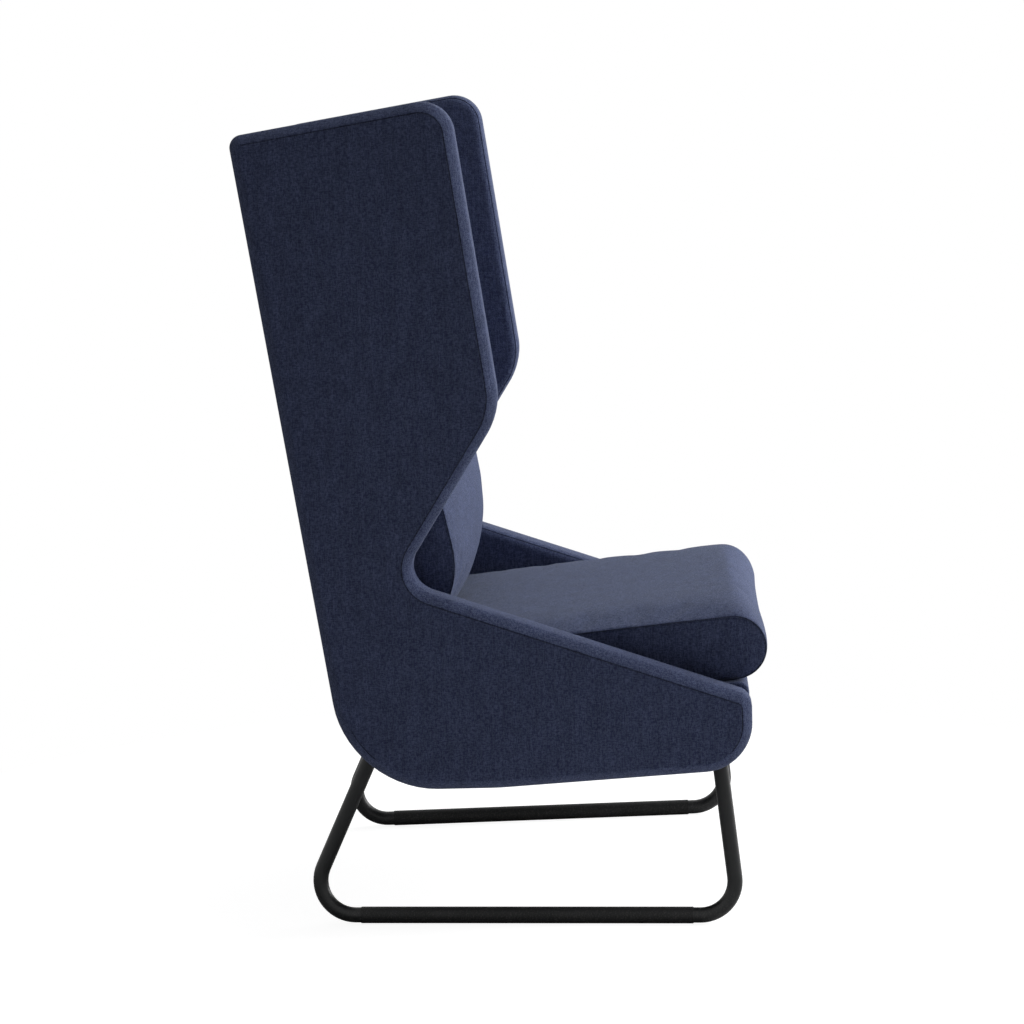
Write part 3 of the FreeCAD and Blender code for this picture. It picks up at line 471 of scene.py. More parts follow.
pad_low, pad_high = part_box("deck_pad")
web_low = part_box("seat_web_1")[0]
web_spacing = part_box("seat_web_2")[0].x - web_low.x
deck_drop = math.tan(SEAT_SLOPE) * (deck_high.y - deck_low.y)
deck_depth = deck_high.z - deck_drop - pad_low.z
DECK_CORNERS = [
    (deck_low.y, deck_high.z, 0),
    (deck_high.y, deck_high.z - deck_drop, 0),
    (pad_high.y, pad_low.z, 0),
    (deck_low.y, deck_high.z - deck_depth, 0),
]


def in_deck_field(face):
    """Whether a face lies on top of the deck, inside its stitched border."""
    within = all(abs(v.co.x) < -PANEL_INNER - DECK_BORDER / 2 for v in face.verts)
    return face.normal.z > FACING_UP and within


def on_deck_stitch(edge):
    """Whether an edge parts the field of the deck from its border."""
    return sum(in_deck_field(face) for face in edge.link_faces) == 1


seat_deck = draw_outline("seat_deck", PANEL_INNER, DECK_CORNERS)
extrude_across(seat_deck, -2 * PANEL_INNER)
open_piece(seat_deck, "FACE")
pick(seat_deck, "faces", lambda f: f.normal.z > FACING_UP)
bpy.ops.mesh.inset(thickness=DECK_BORDER, use_even_offset=True)
close_piece()
sew(seat_deck, on_deck_stitch, STITCH_HALF_WIDTH, STITCH_DEPTH)
open_piece(seat_deck, "FACE")
pick(seat_deck, "faces", in_deck_field)
for cut_round in range(DECK_CUT_ROUNDS):
    bpy.ops.mesh.subdivide(number_cuts=DECK_CUTS)
mesh = bmesh.from_edit_mesh(seat_deck.data)
field = [v for v in mesh.verts if v.select and all(face.select for face in v.link_faces)]
half_x = max(v.co.x for v in field)
middle_y = sum(v.co.y for v in field) / len(field)
half_y = max(v.co.y for v in field) - middle_y
for vertex in field:
    across = 1 - (vertex.co.x / half_x) ** 2
    along = 1 - ((vertex.co.y - middle_y) / half_y) ** 2
    between_webs = math.sin(math.pi * (vertex.co.x - web_low.x) / web_spacing) ** 2
    vertex.co.z -= max(along, 0) * (DECK_SAG * max(across, 0) + DECK_RIPPLE * between_webs)
bmesh.update_edit_mesh(seat_deck.data)
close_piece()
settle(seat_deck)
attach(seat_deck, "chair")
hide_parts("deck_cover", "deck_pad")
print("seat deck: %d faces" % len(seat_deck.data.polygons))

# %% [markdown]
# The loose cushions are foam in a sewn wool cover: one long panel runs over the top, round
# the nose and back underneath, and a gusset closes each end, with one seam round it. Such a
# form could be subdivided and pushed by hand, but the cloth solver draws the panels up
# between their seams as stuffing does. The seam lines are held, the pressure swells the
# rest, and a cap keeps every point within the room that the real cushion has.

# %% Helpers for the cushions
VOXEL = 0.006
SOLVER_FRAMES = 20
SEAM_POINT_SPACING = 0.003
SEAM_SIDE_PULL = 0.3
SEAM_REACH = 3
STILL_ROOM = 0.0008


def seam_route(piece, x):
    """Evenly spaced points, in order, round the flat end of a solid at X = x."""
    flat_end = [f for f in piece.data.polygons if abs(f.center.x - x) < SAME_PLACE][0]
    corners = [piece.data.vertices[index].co.copy() for index in flat_end.vertices]
    points = []
    for start, end in zip(corners, corners[1:] + corners[:1]):
        steps = max(1, math.ceil((end - start).length / SEAM_POINT_SPACING))
        points += [start.lerp(end, step / steps) for step in range(steps)]
    return points


def point_tree(points):
    tree = mathutils.kdtree.KDTree(len(points))
    for index, point in enumerate(points):
        tree.insert(point, index)
    tree.balance()
    return tree


def remesh(piece):
    choose(piece)
    piece.data.remesh_voxel_size = VOXEL
    bpy.ops.object.voxel_remesh()


def stuff(piece, fullness):
    """Fill out a cushion: every point moves out in the side view by its own fullness."""
    before = [(vertex.co.copy(), vertex.normal.copy()) for vertex in piece.data.vertices]
    for vertex, (place, facing) in zip(piece.data.vertices, before):
        facing.x = 0
        vertex.co = place + fullness(place, facing)


def swell(piece, seams, room):
    """Fill a cushion with air for a moment: seams are held, and room caps each point's travel."""
    start = [vertex.co.copy() for vertex in piece.data.vertices]
    held = piece.vertex_groups.new(name="seams")
    near = [v.index for v in piece.data.vertices if seams.find(v.co)[2] < VOXEL]
    held.add(near, 1.0, "REPLACE")
    cloth = piece.modifiers.new("cloth", "CLOTH")
    cloth.settings.use_pressure = True
    cloth.settings.uniform_pressure_force = 4
    cloth.settings.vertex_group_mass = "seams"
    cloth.settings.effector_weights.gravity = 0
    cloth.settings.quality = 5
    cloth.settings.mass = 0.3
    cloth.settings.tension_stiffness = 15
    cloth.settings.compression_stiffness = 15
    cloth.settings.bending_stiffness = 5
    cloth.settings.shrink_min = -0.004
    cloth.collision_settings.use_collision = False
    cloth.point_cache.frame_start = 1
    cloth.point_cache.frame_end = SOLVER_FRAMES
    for frame_number in range(1, SOLVER_FRAMES + 1):
        bpy.context.scene.frame_set(frame_number)
    apply_modifiers(piece)
    bpy.context.scene.frame_set(1)
    longest = 0
    for vertex, before in zip(piece.data.vertices, start):
        travel = vertex.co - before
        limit = room(before)
        length = travel.length
        longest = max(longest, length)
        if length > 0 and limit > 0:
            vertex.co = before + travel * (limit * math.tanh(length / limit) / length)
        else:
            vertex.co = before
    print("%s: longest travel before the cap %.1f mm" % (piece.name, longest * 1000))


def subdivide_once(piece):
    smoother = piece.modifiers.new("smoother", "SUBSURF")
    smoother.levels = 1
    smoother.render_levels = 1
    apply_modifiers(piece)


def inwards_from(point, middle):
    """The direction in which a seam is drawn in: to the middle, and a little from the side."""
    pull = middle - point
    pull.x = math.copysign(SEAM_SIDE_PULL * Vector((pull.y, pull.z)).length, pull.x)
    return pull.normalized()


def press_seam(piece, seams, middle, width, depth):
    """Draw the surface in along a seam, softly to both sides."""
    for vertex in piece.data.vertices:
        point, index, distance = seams.find(vertex.co)
        if distance < SEAM_REACH * width:
            share = math.exp(-((distance / width) ** 2))
            vertex.co += inwards_from(vertex.co, middle) * depth * share


SEAM_ROLL_RADIUS = 0.0009


def seam_roll(name, route, middle, sink):
    """The turned edge at the bottom of a seam, in the darker wool of painted seam shade, so that it shows
    as a fine dark line.
    """
    curve = bpy.data.curves.new(name, "CURVE")
    curve.dimensions = "3D"
    curve.bevel_depth = SEAM_ROLL_RADIUS
    curve.bevel_resolution = 2
    spline = curve.splines.new("POLY")
    spline.points.add(len(route) - 1)
    spline.use_cyclic_u = True
    for spot, point in zip(spline.points, route):
        spot.co = (*(point + inwards_from(point, middle) * sink), 1)
    roll = bpy.data.objects.new(name, curve)
    bpy.context.scene.collection.objects.link(roll)
    choose(roll)
    bpy.ops.object.convert(target="MESH")
    return settle(bpy.context.object)


# %% [markdown]
# The seat cushion lies on the sloping deck and reaches a little past the front of the shell,
# with a full round nose. Its side view is drawn flat first, as if it lay on a level floor,
# and then turned up by the slope of the deck.

# %% Seat cushion
SEAT_CUSHION_ORIGIN = Vector((0, -0.3164, 0.3508))
SEAT_SEAM_X = 0.300
SEAT_THICKNESS = 0.093
SEAT_NOSE_RADIUS = 0.0465
SEAT_REAR_RADIUS = 0.014
SEAT_CROWN = 0.0145
CROWN_SQUARENESS = 8
CROWN_FALL = 3
CUSHION_REST = 0.105
SEAT_NOSE_BULGE = 0.002
SEAT_ROOM = 0.004
GUSSET_ROOM = 0.004
SEAT_START_MARGIN = 0.0015
CUSHION_GAP = 0.0006
SEAT_NOSE_EASE = 0.001
SEAT_REAR_CLEARANCE = 0.010
SEAT_MIDDLE = 0.22
SEAT_END_ROOM = 0.001
SEAT_REAR_STRIP = 0.03
NOSE_FOOT_SHARE = 0.15
UPPER_HALF = 0.5

seat_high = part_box("seat_cushion")[1]
along_seat = Vector((0, math.cos(SEAT_SLOPE), -math.sin(SEAT_SLOPE)))
up_seat = Vector((0, math.sin(SEAT_SLOPE), math.cos(SEAT_SLOPE)))


def on_seat(along, up):
    """The (y, z) place of a point given along and above the deck."""
    point = SEAT_CUSHION_ORIGIN + along_seat * along + up_seat * up
    return point.y, point.z


seat_back_end = (seat_high.y - SEAT_CUSHION_ORIGIN.y) / math.cos(SEAT_SLOPE)
SEAT_CORNERS = [
    (*on_seat(-SEAT_NOSE_RADIUS, SEAT_THICKNESS - SEAT_START_MARGIN), SEAT_NOSE_RADIUS - SEAT_NOSE_EASE),
    (*on_seat(seat_back_end - SEAT_REAR_CLEARANCE, SEAT_THICKNESS - SEAT_START_MARGIN), SEAT_REAR_RADIUS),
    (*on_seat(seat_back_end - SEAT_REAR_CLEARANCE, SEAT_START_MARGIN), SEAT_REAR_RADIUS),
    (*on_seat(-SEAT_NOSE_RADIUS, SEAT_START_MARGIN), SEAT_NOSE_RADIUS - SEAT_NOSE_EASE),
]


def seat_room(place):
    """How far a point of the seat cushion may travel."""
    local = place - SEAT_CUSHION_ORIGIN
    up = local.dot(up_seat) / SEAT_THICKNESS
    along = local.dot(along_seat)
    if abs(place.x) > SEAT_SEAM_X - VOXEL / 2:
        return GUSSET_ROOM
    if along < 0:
        return SEAT_ROOM if up > NOSE_FOOT_SHARE else SEAT_END_ROOM
    if along > seat_back_end - SEAT_REAR_STRIP:
        return SEAT_END_ROOM
    return SEAT_ROOM * (1 - along / seat_back_end) if up > UPPER_HALF else STILL_ROOM


def seat_fullness(place, facing):
    """The crown of the seat cushion: full nearly to its seams, and lower towards its rear."""
    local = place - SEAT_CUSHION_ORIGIN
    along = local.dot(along_seat)
    share = max(0, 1 - (place.x / SEAT_SEAM_X) ** CROWN_SQUARENESS)
    way = min(1, max(0, along / seat_back_end))
    lift = SEAT_CROWN * (1 - way**CROWN_FALL) * max(0, facing.dot(up_seat))
    bulge = SEAT_NOSE_BULGE * max(0, -facing.dot(along_seat)) if along < 0 else 0
    return (up_seat * lift - along_seat * bulge) * share


SEAM_PRESS_WIDTH = 0.003
SEAM_PRESS_DEPTH = 0.0014


def cushion(name, corners, seam_x, fullness, room, middle):
    """A cushion from its side view, with both gusset seams, swollen by the solver."""
    piece = draw_outline(name, -seam_x, corners)
    extrude_across(piece, 2 * seam_x)
    settle(piece)
    routes = [seam_route(piece, -seam_x), seam_route(piece, seam_x)]
    seams = point_tree(routes[0] + routes[1])
    remesh(piece)
    stuff(piece, fullness)
    swell(piece, seams, room)
    subdivide_once(piece)
    press_seam(piece, seams, middle, SEAM_PRESS_WIDTH, SEAM_PRESS_DEPTH)
    settle(piece)
    sides = ("left", "right")
    rolls = [
        seam_roll("%s_seam_%s" % (name, side), route, middle, SEAM_PRESS_DEPTH)
        for side, route in zip(sides, routes)
    ]
    print("%s: %d faces" % (name, len(piece.data.polygons)))
    return piece, rolls


seat_middle = Vector((0, *on_seat(SEAT_MIDDLE, SEAT_THICKNESS / 2)))
seat_pad, seat_rolls = cushion(
    "seat_cushion_cover", SEAT_CORNERS, SEAT_SEAM_X, seat_fullness, seat_room, seat_middle
)
for piece in (seat_pad, *seat_rolls):
    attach(piece, "seat_pad")
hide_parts("seat_cushion")

# %% [markdown]
# The back cushion stands on the seat cushion and leans against the back. It is thicker low
# down, where it holds the small of the back, and its front swells between its gussets.

# %% Back cushion
BACK_SEAM_X = 0.296
BACK_FOOT = Vector((0, 0.1881, 0.4135))
BACK_CUSHION_HEIGHT = 0.430
BACK_CUSHION_TOP_DEPTH = 0.108
BACK_CUSHION_LOW_RADIUS = 0.115
BACK_CUSHION_TOP_ROUND = 0.045
BACK_CUSHION_REAR_ROUND = 0.014
BACK_BELLY_DEPTH = 0.1325
BACK_ROOM = 0.004
CHIN_START = 0.10
BACK_START_MARGIN = 0.001
BACK_TOP_MARGIN = 0.002
BACK_MIDDLE_DEPTH = 0.05
BACK_REAR_STRIP = 0.02
BACK_END_STRIP = 0.004
BACK_TOP_ROOM = 0.004
BACK_ROOM_RISE = 0.08
BACK_FULLNESS = [
    (0.00, 0.018),
    (0.06, 0.013),
    (0.09, 0.014),
    (0.12, 0.020),
    (0.16, 0.027),
    (0.21, 0.029),
    (0.43, 0.010),
]

along_back = Vector((0, math.sin(lean), math.cos(lean)))
out_of_back = Vector((0, -math.cos(lean), math.sin(lean)))


def on_back(up, forward):
    """The (y, z) place of a point given up the back and forward of it."""
    point = BACK_FOOT + along_back * up + out_of_back * forward
    return point.y, point.z


belly_drop = BACK_BELLY_DEPTH * math.tan(lean - SEAT_SLOPE)
back_cushion_top = BACK_CUSHION_HEIGHT - BACK_TOP_MARGIN
BACK_CUSHION_CORNERS = [
    (*on_back(BACK_START_MARGIN, BACK_START_MARGIN), BACK_CUSHION_REAR_ROUND),
    (*on_back(back_cushion_top, BACK_START_MARGIN), BACK_CUSHION_REAR_ROUND),
    (*on_back(back_cushion_top, BACK_CUSHION_TOP_DEPTH), BACK_CUSHION_TOP_ROUND),
    (*on_back(BACK_START_MARGIN - belly_drop, BACK_BELLY_DEPTH), BACK_CUSHION_LOW_RADIUS),
]


def back_room(place):
    """How far a point of the back cushion may travel."""
    local = place - BACK_FOOT
    up = local.dot(along_back)
    forward = local.dot(out_of_back)
    if abs(place.x) > BACK_SEAM_X - VOXEL / 2:
        return GUSSET_ROOM
    if forward < BACK_REAR_STRIP or up < BACK_END_STRIP:
        return STILL_ROOM
    if up > BACK_CUSHION_HEIGHT - BACK_END_STRIP:
        return BACK_TOP_ROOM
    return BACK_ROOM * min(1, up / BACK_ROOM_RISE)


def measured_fullness(up):
    """The swell of the back cushion's middle at a height, between the heights measured."""
    for (low, first), (high, second) in zip(BACK_FULLNESS, BACK_FULLNESS[1:]):
        if up <= high:
            return first + (second - first) * max(0, up - low) / (high - low)
    return BACK_FULLNESS[-1][1]


def back_fullness(place, facing):
    """The swell of the back cushion's front, kept clear of the seat cushion below it."""
    local = place - BACK_FOOT
    share = max(0, 1 - (place.x / BACK_SEAM_X) ** 2)
    chin = max(0, -facing.dot(along_back)) * min(1, local.dot(out_of_back) / CHIN_START)
    outwards = min(1, max(0, facing.dot(out_of_back) + chin))
    travel = facing * (measured_fullness(local.dot(along_back)) * share * outwards)
    height = (place + travel - SEAT_CUSHION_ORIGIN).dot(up_seat)
    if travel.length > 0:
        travel += up_seat * max(0, CUSHION_REST + CUSHION_GAP - height)
    return travel


back_middle = Vector((0, *on_back(BACK_CUSHION_HEIGHT / 2, BACK_MIDDLE_DEPTH)))
back_pad, back_rolls = cushion(
    "back_cushion_cover", BACK_CUSHION_CORNERS, BACK_SEAM_X, back_fullness, back_room, back_middle
)
for piece in (back_pad, *back_rolls):
    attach(piece, "back_pad")
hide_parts("back_cushion")

# %% [markdown]
# Every finish below is made of nodes. Effects that more than one finish needs are node
# groups: woven wool, the grain of wood and the fine unevenness of a sprayed coat. A group
# hands out values only, and each material decides what they change.

# %% Helpers for node trees
def add_node(tree, kind, **values):
    """Add a node and set its plain properties and its unlinked inputs."""
    made = tree.nodes.new(kind)
    for name, value in values.items():
        if hasattr(made, name):
            setattr(made, name, value)
        else:
            made.inputs[name.replace("_", " ").title()].default_value = value
    return made


def join(tree, source, target):
    tree.links.new(source, target)


def arithmetic(tree, operation, first, second=None, third=None):
    """A math node whose terms are sockets or numbers; returns its output."""
    made = add_node(tree, "ShaderNodeMath", operation=operation)
    for socket, term in zip(made.inputs, (first, second, third)):
        if isinstance(term, bpy.types.NodeSocket):
            join(tree, term, socket)
        elif term is not None:
            socket.default_value = term
    return made.outputs[0]


def vector_arithmetic(tree, operation, first, second=None):
    """A vector math node whose terms are sockets or triples; returns its output."""
    made = add_node(tree, "ShaderNodeVectorMath", operation=operation)
    for socket, term in zip(made.inputs, (first, second)):
        if isinstance(term, bpy.types.NodeSocket):
            join(tree, term, socket)
        elif term is not None:
            socket.default_value = term
    return made.outputs["Value"] if operation == "DOT_PRODUCT" else made.outputs["Vector"]


def noise(tree, place, scale, detail=2.0, roughness=0.5):
    """A noise texture at a place socket; returns its value."""
    made = add_node(tree, "ShaderNodeTexNoise")
    made.inputs["Scale"].default_value = scale
    made.inputs["Detail"].default_value = detail
    made.inputs["Roughness"].default_value = roughness
    join(tree, place, made.inputs["Vector"])
    return made.outputs["Fac"]


def remap(tree, value, low, high, to_low=0.0, to_high=1.0):
    """Stretch a value from one range to another, clamped."""
    made = add_node(tree, "ShaderNodeMapRange")
    join(tree, value, made.inputs["Value"])
    made.inputs["From Min"].default_value = low
    made.inputs["From Max"].default_value = high
    made.inputs["To Min"].default_value = to_low
    made.inputs["To Max"].default_value = to_high
    return made.outputs["Result"]


def blend_colours(tree, share, first, second, blend_type="MIX"):
    """A colour mix whose terms are sockets or colours; returns its output."""
    made = add_node(tree, "ShaderNodeMix", data_type="RGBA", blend_type=blend_type)
    for socket, term in zip((made.inputs[0], made.inputs[6], made.inputs[7]), (share, first, second)):
        if isinstance(term, bpy.types.NodeSocket):
            join(tree, term, socket)
        elif isinstance(term, tuple):
            socket.default_value = (*term, 1.0)
        else:
            socket.default_value = term
    return made.outputs[2]


def new_group(name, inputs, outputs):
    """A shader node group with float or vector inputs and float outputs."""
    group = bpy.data.node_groups.new(name, "ShaderNodeTree")
    for socket_name, default in inputs:
        kind = "NodeSocketVector" if default is None else "NodeSocketFloat"
        socket = group.interface.new_socket(socket_name, in_out="INPUT", socket_type=kind)
        if default is not None:
            socket.default_value = default
    for socket_name in outputs:
        group.interface.new_socket(socket_name, in_out="OUTPUT", socket_type="NodeSocketFloat")
    entry = group.nodes.new("NodeGroupInput")
    leave = group.nodes.new("NodeGroupOutput")
    return group, entry, leave


def new_finish(name):
    """A material with its shader; returns the material, its tree, shader, place and normal."""
    material = bpy.data.materials.new(name)
    material.use_nodes = True
    tree = material.node_tree
    shader = tree.nodes["Principled BSDF"]
    coordinates = tree.nodes.new("ShaderNodeTexCoord")
    return material, tree, shader, coordinates.outputs["Object"], coordinates.outputs["Normal"]


def place_group(tree, group, place, normal=None, **values):
    """Put a node group into a material, feeding it the place, the normal and its own values."""
    made = tree.nodes.new("ShaderNodeGroup")
    made.node_tree = group
    join(tree, place, made.inputs["Place"])
    if normal is not None:
        join(tree, normal, made.inputs["Facing"])
    for name, value in values.items():
        made.inputs[name.replace("_", " ").title()].default_value = value
    return made


def bump(tree, shader, height, strength, distance):
    made = tree.nodes.new("ShaderNodeBump")
    made.inputs["Strength"].default_value = strength
    made.inputs["Distance"].default_value = distance
    join(tree, height, made.inputs["Height"])
    join(tree, made.outputs["Normal"], shader.inputs["Normal"])


# %% [markdown]
# The wool is spun from fibres dyed in several blues, so its yarns show as short light and
# dark flecks along the warp and the weft, and here and there a thicker stretch of yarn, a
# slub, runs up the cloth. An image would need the cover to be unwrapped.
# Noise stretched along X, Y and Z gives such flecks on a face that looks any way. The weave
# is a chequer of small bumps made of two sine waves, and the face's own direction chooses
# which two. A slow noise wanders the yarns so that no two rows are alike.

# %% Wool weave group
YARN_PITCH = 0.0013
FLECK_LENGTH = 0.0065
FLECK_WIDTH = 0.0016
SLUB_LENGTH = 0.050
SLUB_WIDTH = 0.0032
FIBRE_SCALE = 2600.0
PATCH_SCALE = 45.0
WANDER_SCALE = 160.0


def make_wool_group():
    group, entry, leave = new_group(
        "wool_weave",
        [("Place", None), ("Facing", None), ("Yarn Wander", 0.0004)],
        ["Fleck", "Fibre", "Weave", "Patch"],
    )
    place = entry.outputs["Place"]
    flecks = 0.0
    for axis in range(3):
        stretch = [1 / FLECK_WIDTH] * 3
        stretch[axis] = 1 / FLECK_LENGTH
        stretched = vector_arithmetic(group, "MULTIPLY", place, tuple(stretch))
        flecks = arithmetic(group, "ADD", noise(group, stretched, 1.0, 1.0), flecks)
    flecks = arithmetic(group, "DIVIDE", flecks, 3.0)
    fibre = noise(group, place, FIBRE_SCALE, 2.0, 0.7)
    slub_stretch = (1 / SLUB_WIDTH, 1 / SLUB_WIDTH, 1 / SLUB_LENGTH)
    slub = noise(group, vector_arithmetic(group, "MULTIPLY", place, slub_stretch), 1.0, 1.0)
    patch = arithmetic(group, "ADD", noise(group, place, PATCH_SCALE, 3.0, 0.6), slub)
    patch = arithmetic(group, "MULTIPLY", patch, 0.5)
    wander = noise(group, place, WANDER_SCALE, 1.0)
    shift = arithmetic(group, "MULTIPLY", wander, entry.outputs["Yarn Wander"])
    moved = vector_arithmetic(group, "ADD", place, shift)
    turns = math.pi / YARN_PITCH
    waves = vector_arithmetic(group, "SINE", vector_arithmetic(group, "MULTIPLY", moved, (turns,) * 3))
    split = group.nodes.new("ShaderNodeSeparateXYZ")
    join(group, waves, split.inputs[0])
    pairs = group.nodes.new("ShaderNodeCombineXYZ")
    for slot, (one, other) in enumerate(((1, 2), (0, 2), (0, 1))):
        product = arithmetic(group, "MULTIPLY", split.outputs[one], split.outputs[other])
        join(group, product, pairs.inputs[slot])
    facing = vector_arithmetic(group, "MULTIPLY", entry.outputs["Facing"], entry.outputs["Facing"])
    weave = vector_arithmetic(group, "DOT_PRODUCT", pairs.outputs[0], facing)
    join(group, flecks, leave.inputs["Fleck"])
    join(group, fibre, leave.inputs["Fibre"])
    join(group, weave, leave.inputs["Weave"])
    join(group, patch, leave.inputs["Patch"])
    return group


wool_weave = make_wool_group()
print("wool weave group: %d nodes" % len(wool_weave.nodes))

# %% [markdown]
# The shell and the cushions are covered in the same cloth, so one function makes both
# finishes. The flecks mix a dark and a lighter navy, and patches of wear shift it a little. Wool
# has no gloss, but its standing fibres catch light that grazes it, which is what the sheen
# of the shader is for: it makes the front faces of the chair so much paler than its side.

# %% Wool finishes
DARK_NAVY = (0.038, 0.048, 0.104)
MID_NAVY = (0.088, 0.108, 0.198)
PALE_FIBRE = (0.17, 0.19, 0.26)


def wool(name, lightness=1.0):
    material, tree, shader, place, normal = new_finish(name)
    weave = place_group(tree, wool_weave, place, normal)
    fleck = remap(tree, weave.outputs["Fleck"], 0.42, 0.58)
    colour = blend_colours(tree, fleck, DARK_NAVY, MID_NAVY)
    pale = remap(tree, weave.outputs["Fibre"], 0.60, 0.75, 0.0, 0.35)
    colour = blend_colours(tree, pale, colour, PALE_FIBRE)
    shade = remap(tree, weave.outputs["Patch"], 0.35, 0.65, 0.84 * lightness, 1.16 * lightness)
    # The colour is darker where the weave's bumps are low: painted shade between the yarns.
    weave_gap_shade = remap(tree, weave.outputs["Weave"], -1.0, 0.2, 0.82, 1.0)
    both = arithmetic(tree, "MULTIPLY", shade, weave_gap_shade)
    made = add_node(tree, "ShaderNodeVectorMath", operation="SCALE")
    join(tree, colour, made.inputs[0])
    join(tree, both, made.inputs["Scale"])
    join(tree, made.outputs["Vector"], shader.inputs["Base Color"])
    roughness = remap(tree, weave.outputs["Patch"], 0.3, 0.7, 0.86, 0.96)
    join(tree, roughness, shader.inputs["Roughness"])
    shader.inputs["Specular IOR Level"].default_value = 0.03
    shader.inputs["Sheen Weight"].default_value = 0.18
    shader.inputs["Sheen Roughness"].default_value = 0.45
    shader.inputs["Sheen Tint"].default_value = (0.88, 0.95, 1.0, 1.0)
    height = arithmetic(tree, "MULTIPLY_ADD", weave.outputs["Weave"], 0.5, weave.outputs["Fibre"])
    height = arithmetic(tree, "MULTIPLY_ADD", weave.outputs["Fleck"], 1.2, height)
    bump(tree, shader, height, 0.55, 0.0006)
    return material


finishes = {"shell_fabric": wool("shell_wool"), "cushion_fabric": wool("cushion_wool", 1.03)}
# The same wool at 0.55 of its lightness is painted shade, for the seams' grooves and their turned edges.
seam_wool = wool("seam_wool", 0.55)
print("wool finishes: %s" % ", ".join(finishes))

# %% [markdown]
# The sled and the bars are welded steel with a satin black powder coat. Such a coat isn't
# smooth: it has a fine orange peel, it is rubbed a little glossier where shoes and hands
# meet it, and it gathers dust near the floor. One group gives these as masks, so that the
# plastic sleeves can use them too.

# %% Coating group
def make_coating_group():
    group, entry, leave = new_group("coating", [("Place", None)], ["Peel", "Rub", "Dust"])
    place = entry.outputs["Place"]
    peel = noise(group, place, 900.0, 2.0, 0.5)
    rub = remap(group, noise(group, place, 26.0, 4.0, 0.65), 0.45, 0.70)
    height = group.nodes.new("ShaderNodeSeparateXYZ")
    join(group, place, height.inputs[0])
    low = remap(group, height.outputs[2], 0.0, 0.06, 1.0, 0.0)
    speck = remap(group, noise(group, place, 420.0, 3.0, 0.7), 0.50, 0.72)
    dust = arithmetic(group, "MULTIPLY", low, speck)
    join(group, peel, leave.inputs["Peel"])
    join(group, rub, leave.inputs["Rub"])
    join(group, dust, leave.inputs["Dust"])
    return group


coating = make_coating_group()

# %% Black steel and sleeve plastic
DUST_GREY = (0.16, 0.155, 0.145)


def coated(name, colour, worn_colour, roughness, worn_roughness, peel_depth):
    """A dull black surface: powder coat or moulded plastic."""
    material, tree, shader, place, normal = new_finish(name)
    masks = place_group(tree, coating, place)
    worn = blend_colours(tree, masks.outputs["Rub"], colour, worn_colour)
    dust = arithmetic(tree, "MULTIPLY", masks.outputs["Dust"], 0.35)
    join(tree, blend_colours(tree, dust, worn, DUST_GREY), shader.inputs["Base Color"])
    rubbed = remap(tree, masks.outputs["Rub"], 0.0, 1.0, roughness, worn_roughness)
    join(tree, arithmetic(tree, "ADD", rubbed, dust), shader.inputs["Roughness"])
    shader.inputs["Specular IOR Level"].default_value = 0.3
    bump(tree, shader, masks.outputs["Peel"], 0.35, peel_depth)
    return material


finishes["black_steel"] = coated(
    "powder_coated_steel", (0.011, 0.012, 0.013), (0.017, 0.018, 0.019), 0.42, 0.32, 0.0002
)
finishes["sleeve_plastic"] = coated(
    "sleeve_plastic", (0.005, 0.0055, 0.006), (0.009, 0.009, 0.010), 0.62, 0.50, 0.0003
)

# %% [markdown]
# The hidden frame shows only when a cushion is lifted or the chair is turned over, but it
# is finished too. Plywood and beech share one grain group: noise drawn out along the grain
# and bent into rings by a slower noise.

# %% Wood grain group
def make_grain_group():
    group, entry, leave = new_group("wood_grain", [("Place", None)], ["Ring", "Pore"])
    place = entry.outputs["Place"]
    drawn = vector_arithmetic(group, "MULTIPLY", place, (60.0, 60.0, 7.0))
    wander = noise(group, drawn, 0.6, 3.0)
    bands = arithmetic(group, "SINE", arithmetic(group, "MULTIPLY", wander, 42.0))
    ring = remap(group, bands, -1.0, 1.0)
    fine = vector_arithmetic(group, "MULTIPLY", place, (1900.0, 1900.0, 110.0))
    pore = remap(group, noise(group, fine, 1.0, 2.0), 0.58, 0.72)
    join(group, ring, leave.inputs["Ring"])
    join(group, pore, leave.inputs["Pore"])
    return group


wood_grain = make_grain_group()

# %% Wood finishes
def wood(name, light, dark, pore_colour):
    material, tree, shader, place, normal = new_finish(name)
    grain = place_group(tree, wood_grain, place)
    colour = blend_colours(tree, grain.outputs["Ring"], light, dark)
    pores = arithmetic(tree, "MULTIPLY", grain.outputs["Pore"], 0.5)
    join(tree, blend_colours(tree, pores, colour, pore_colour), shader.inputs["Base Color"])
    join(tree, remap(tree, grain.outputs["Ring"], 0.0, 1.0, 0.55, 0.72), shader.inputs["Roughness"])
    bump(tree, shader, grain.outputs["Pore"], -0.4, 0.0002)
    return material


finishes["plywood"] = wood("birch_plywood", (0.66, 0.49, 0.30), (0.56, 0.39, 0.22), (0.30, 0.19, 0.10))
finishes["frame_timber"] = wood("planed_beech", (0.62, 0.42, 0.26), (0.52, 0.33, 0.19), (0.25, 0.14, 0.08))

# %% [markdown]
# Foam is a mass of small open cells, so cells of a Voronoi texture pit it. The cloths of the
# deck and the underside are plain and dark. Webbing is woven in ribs along its length.

# %% Foam, linings and webbing
def foam(name):
    material, tree, shader, place, normal = new_finish(name)
    cells = add_node(tree, "ShaderNodeTexVoronoi")
    cells.inputs["Scale"].default_value = 700.0
    join(tree, place, cells.inputs["Vector"])
    depth = remap(tree, cells.outputs["Distance"], 0.0, 0.6)
    yellowed = remap(tree, noise(tree, place, 9.0, 3.0), 0.35, 0.65)
    tone = blend_colours(tree, yellowed, (0.78, 0.76, 0.66), (0.70, 0.64, 0.47))
    # The colour darkens with the depth of the cells: painted shade in the pits.
    join(tree, blend_colours(tree, depth, tone, (0.42, 0.38, 0.28)), shader.inputs["Base Color"])
    shader.inputs["Roughness"].default_value = 0.95
    bump(tree, shader, depth, -0.5, 0.0006)
    return material


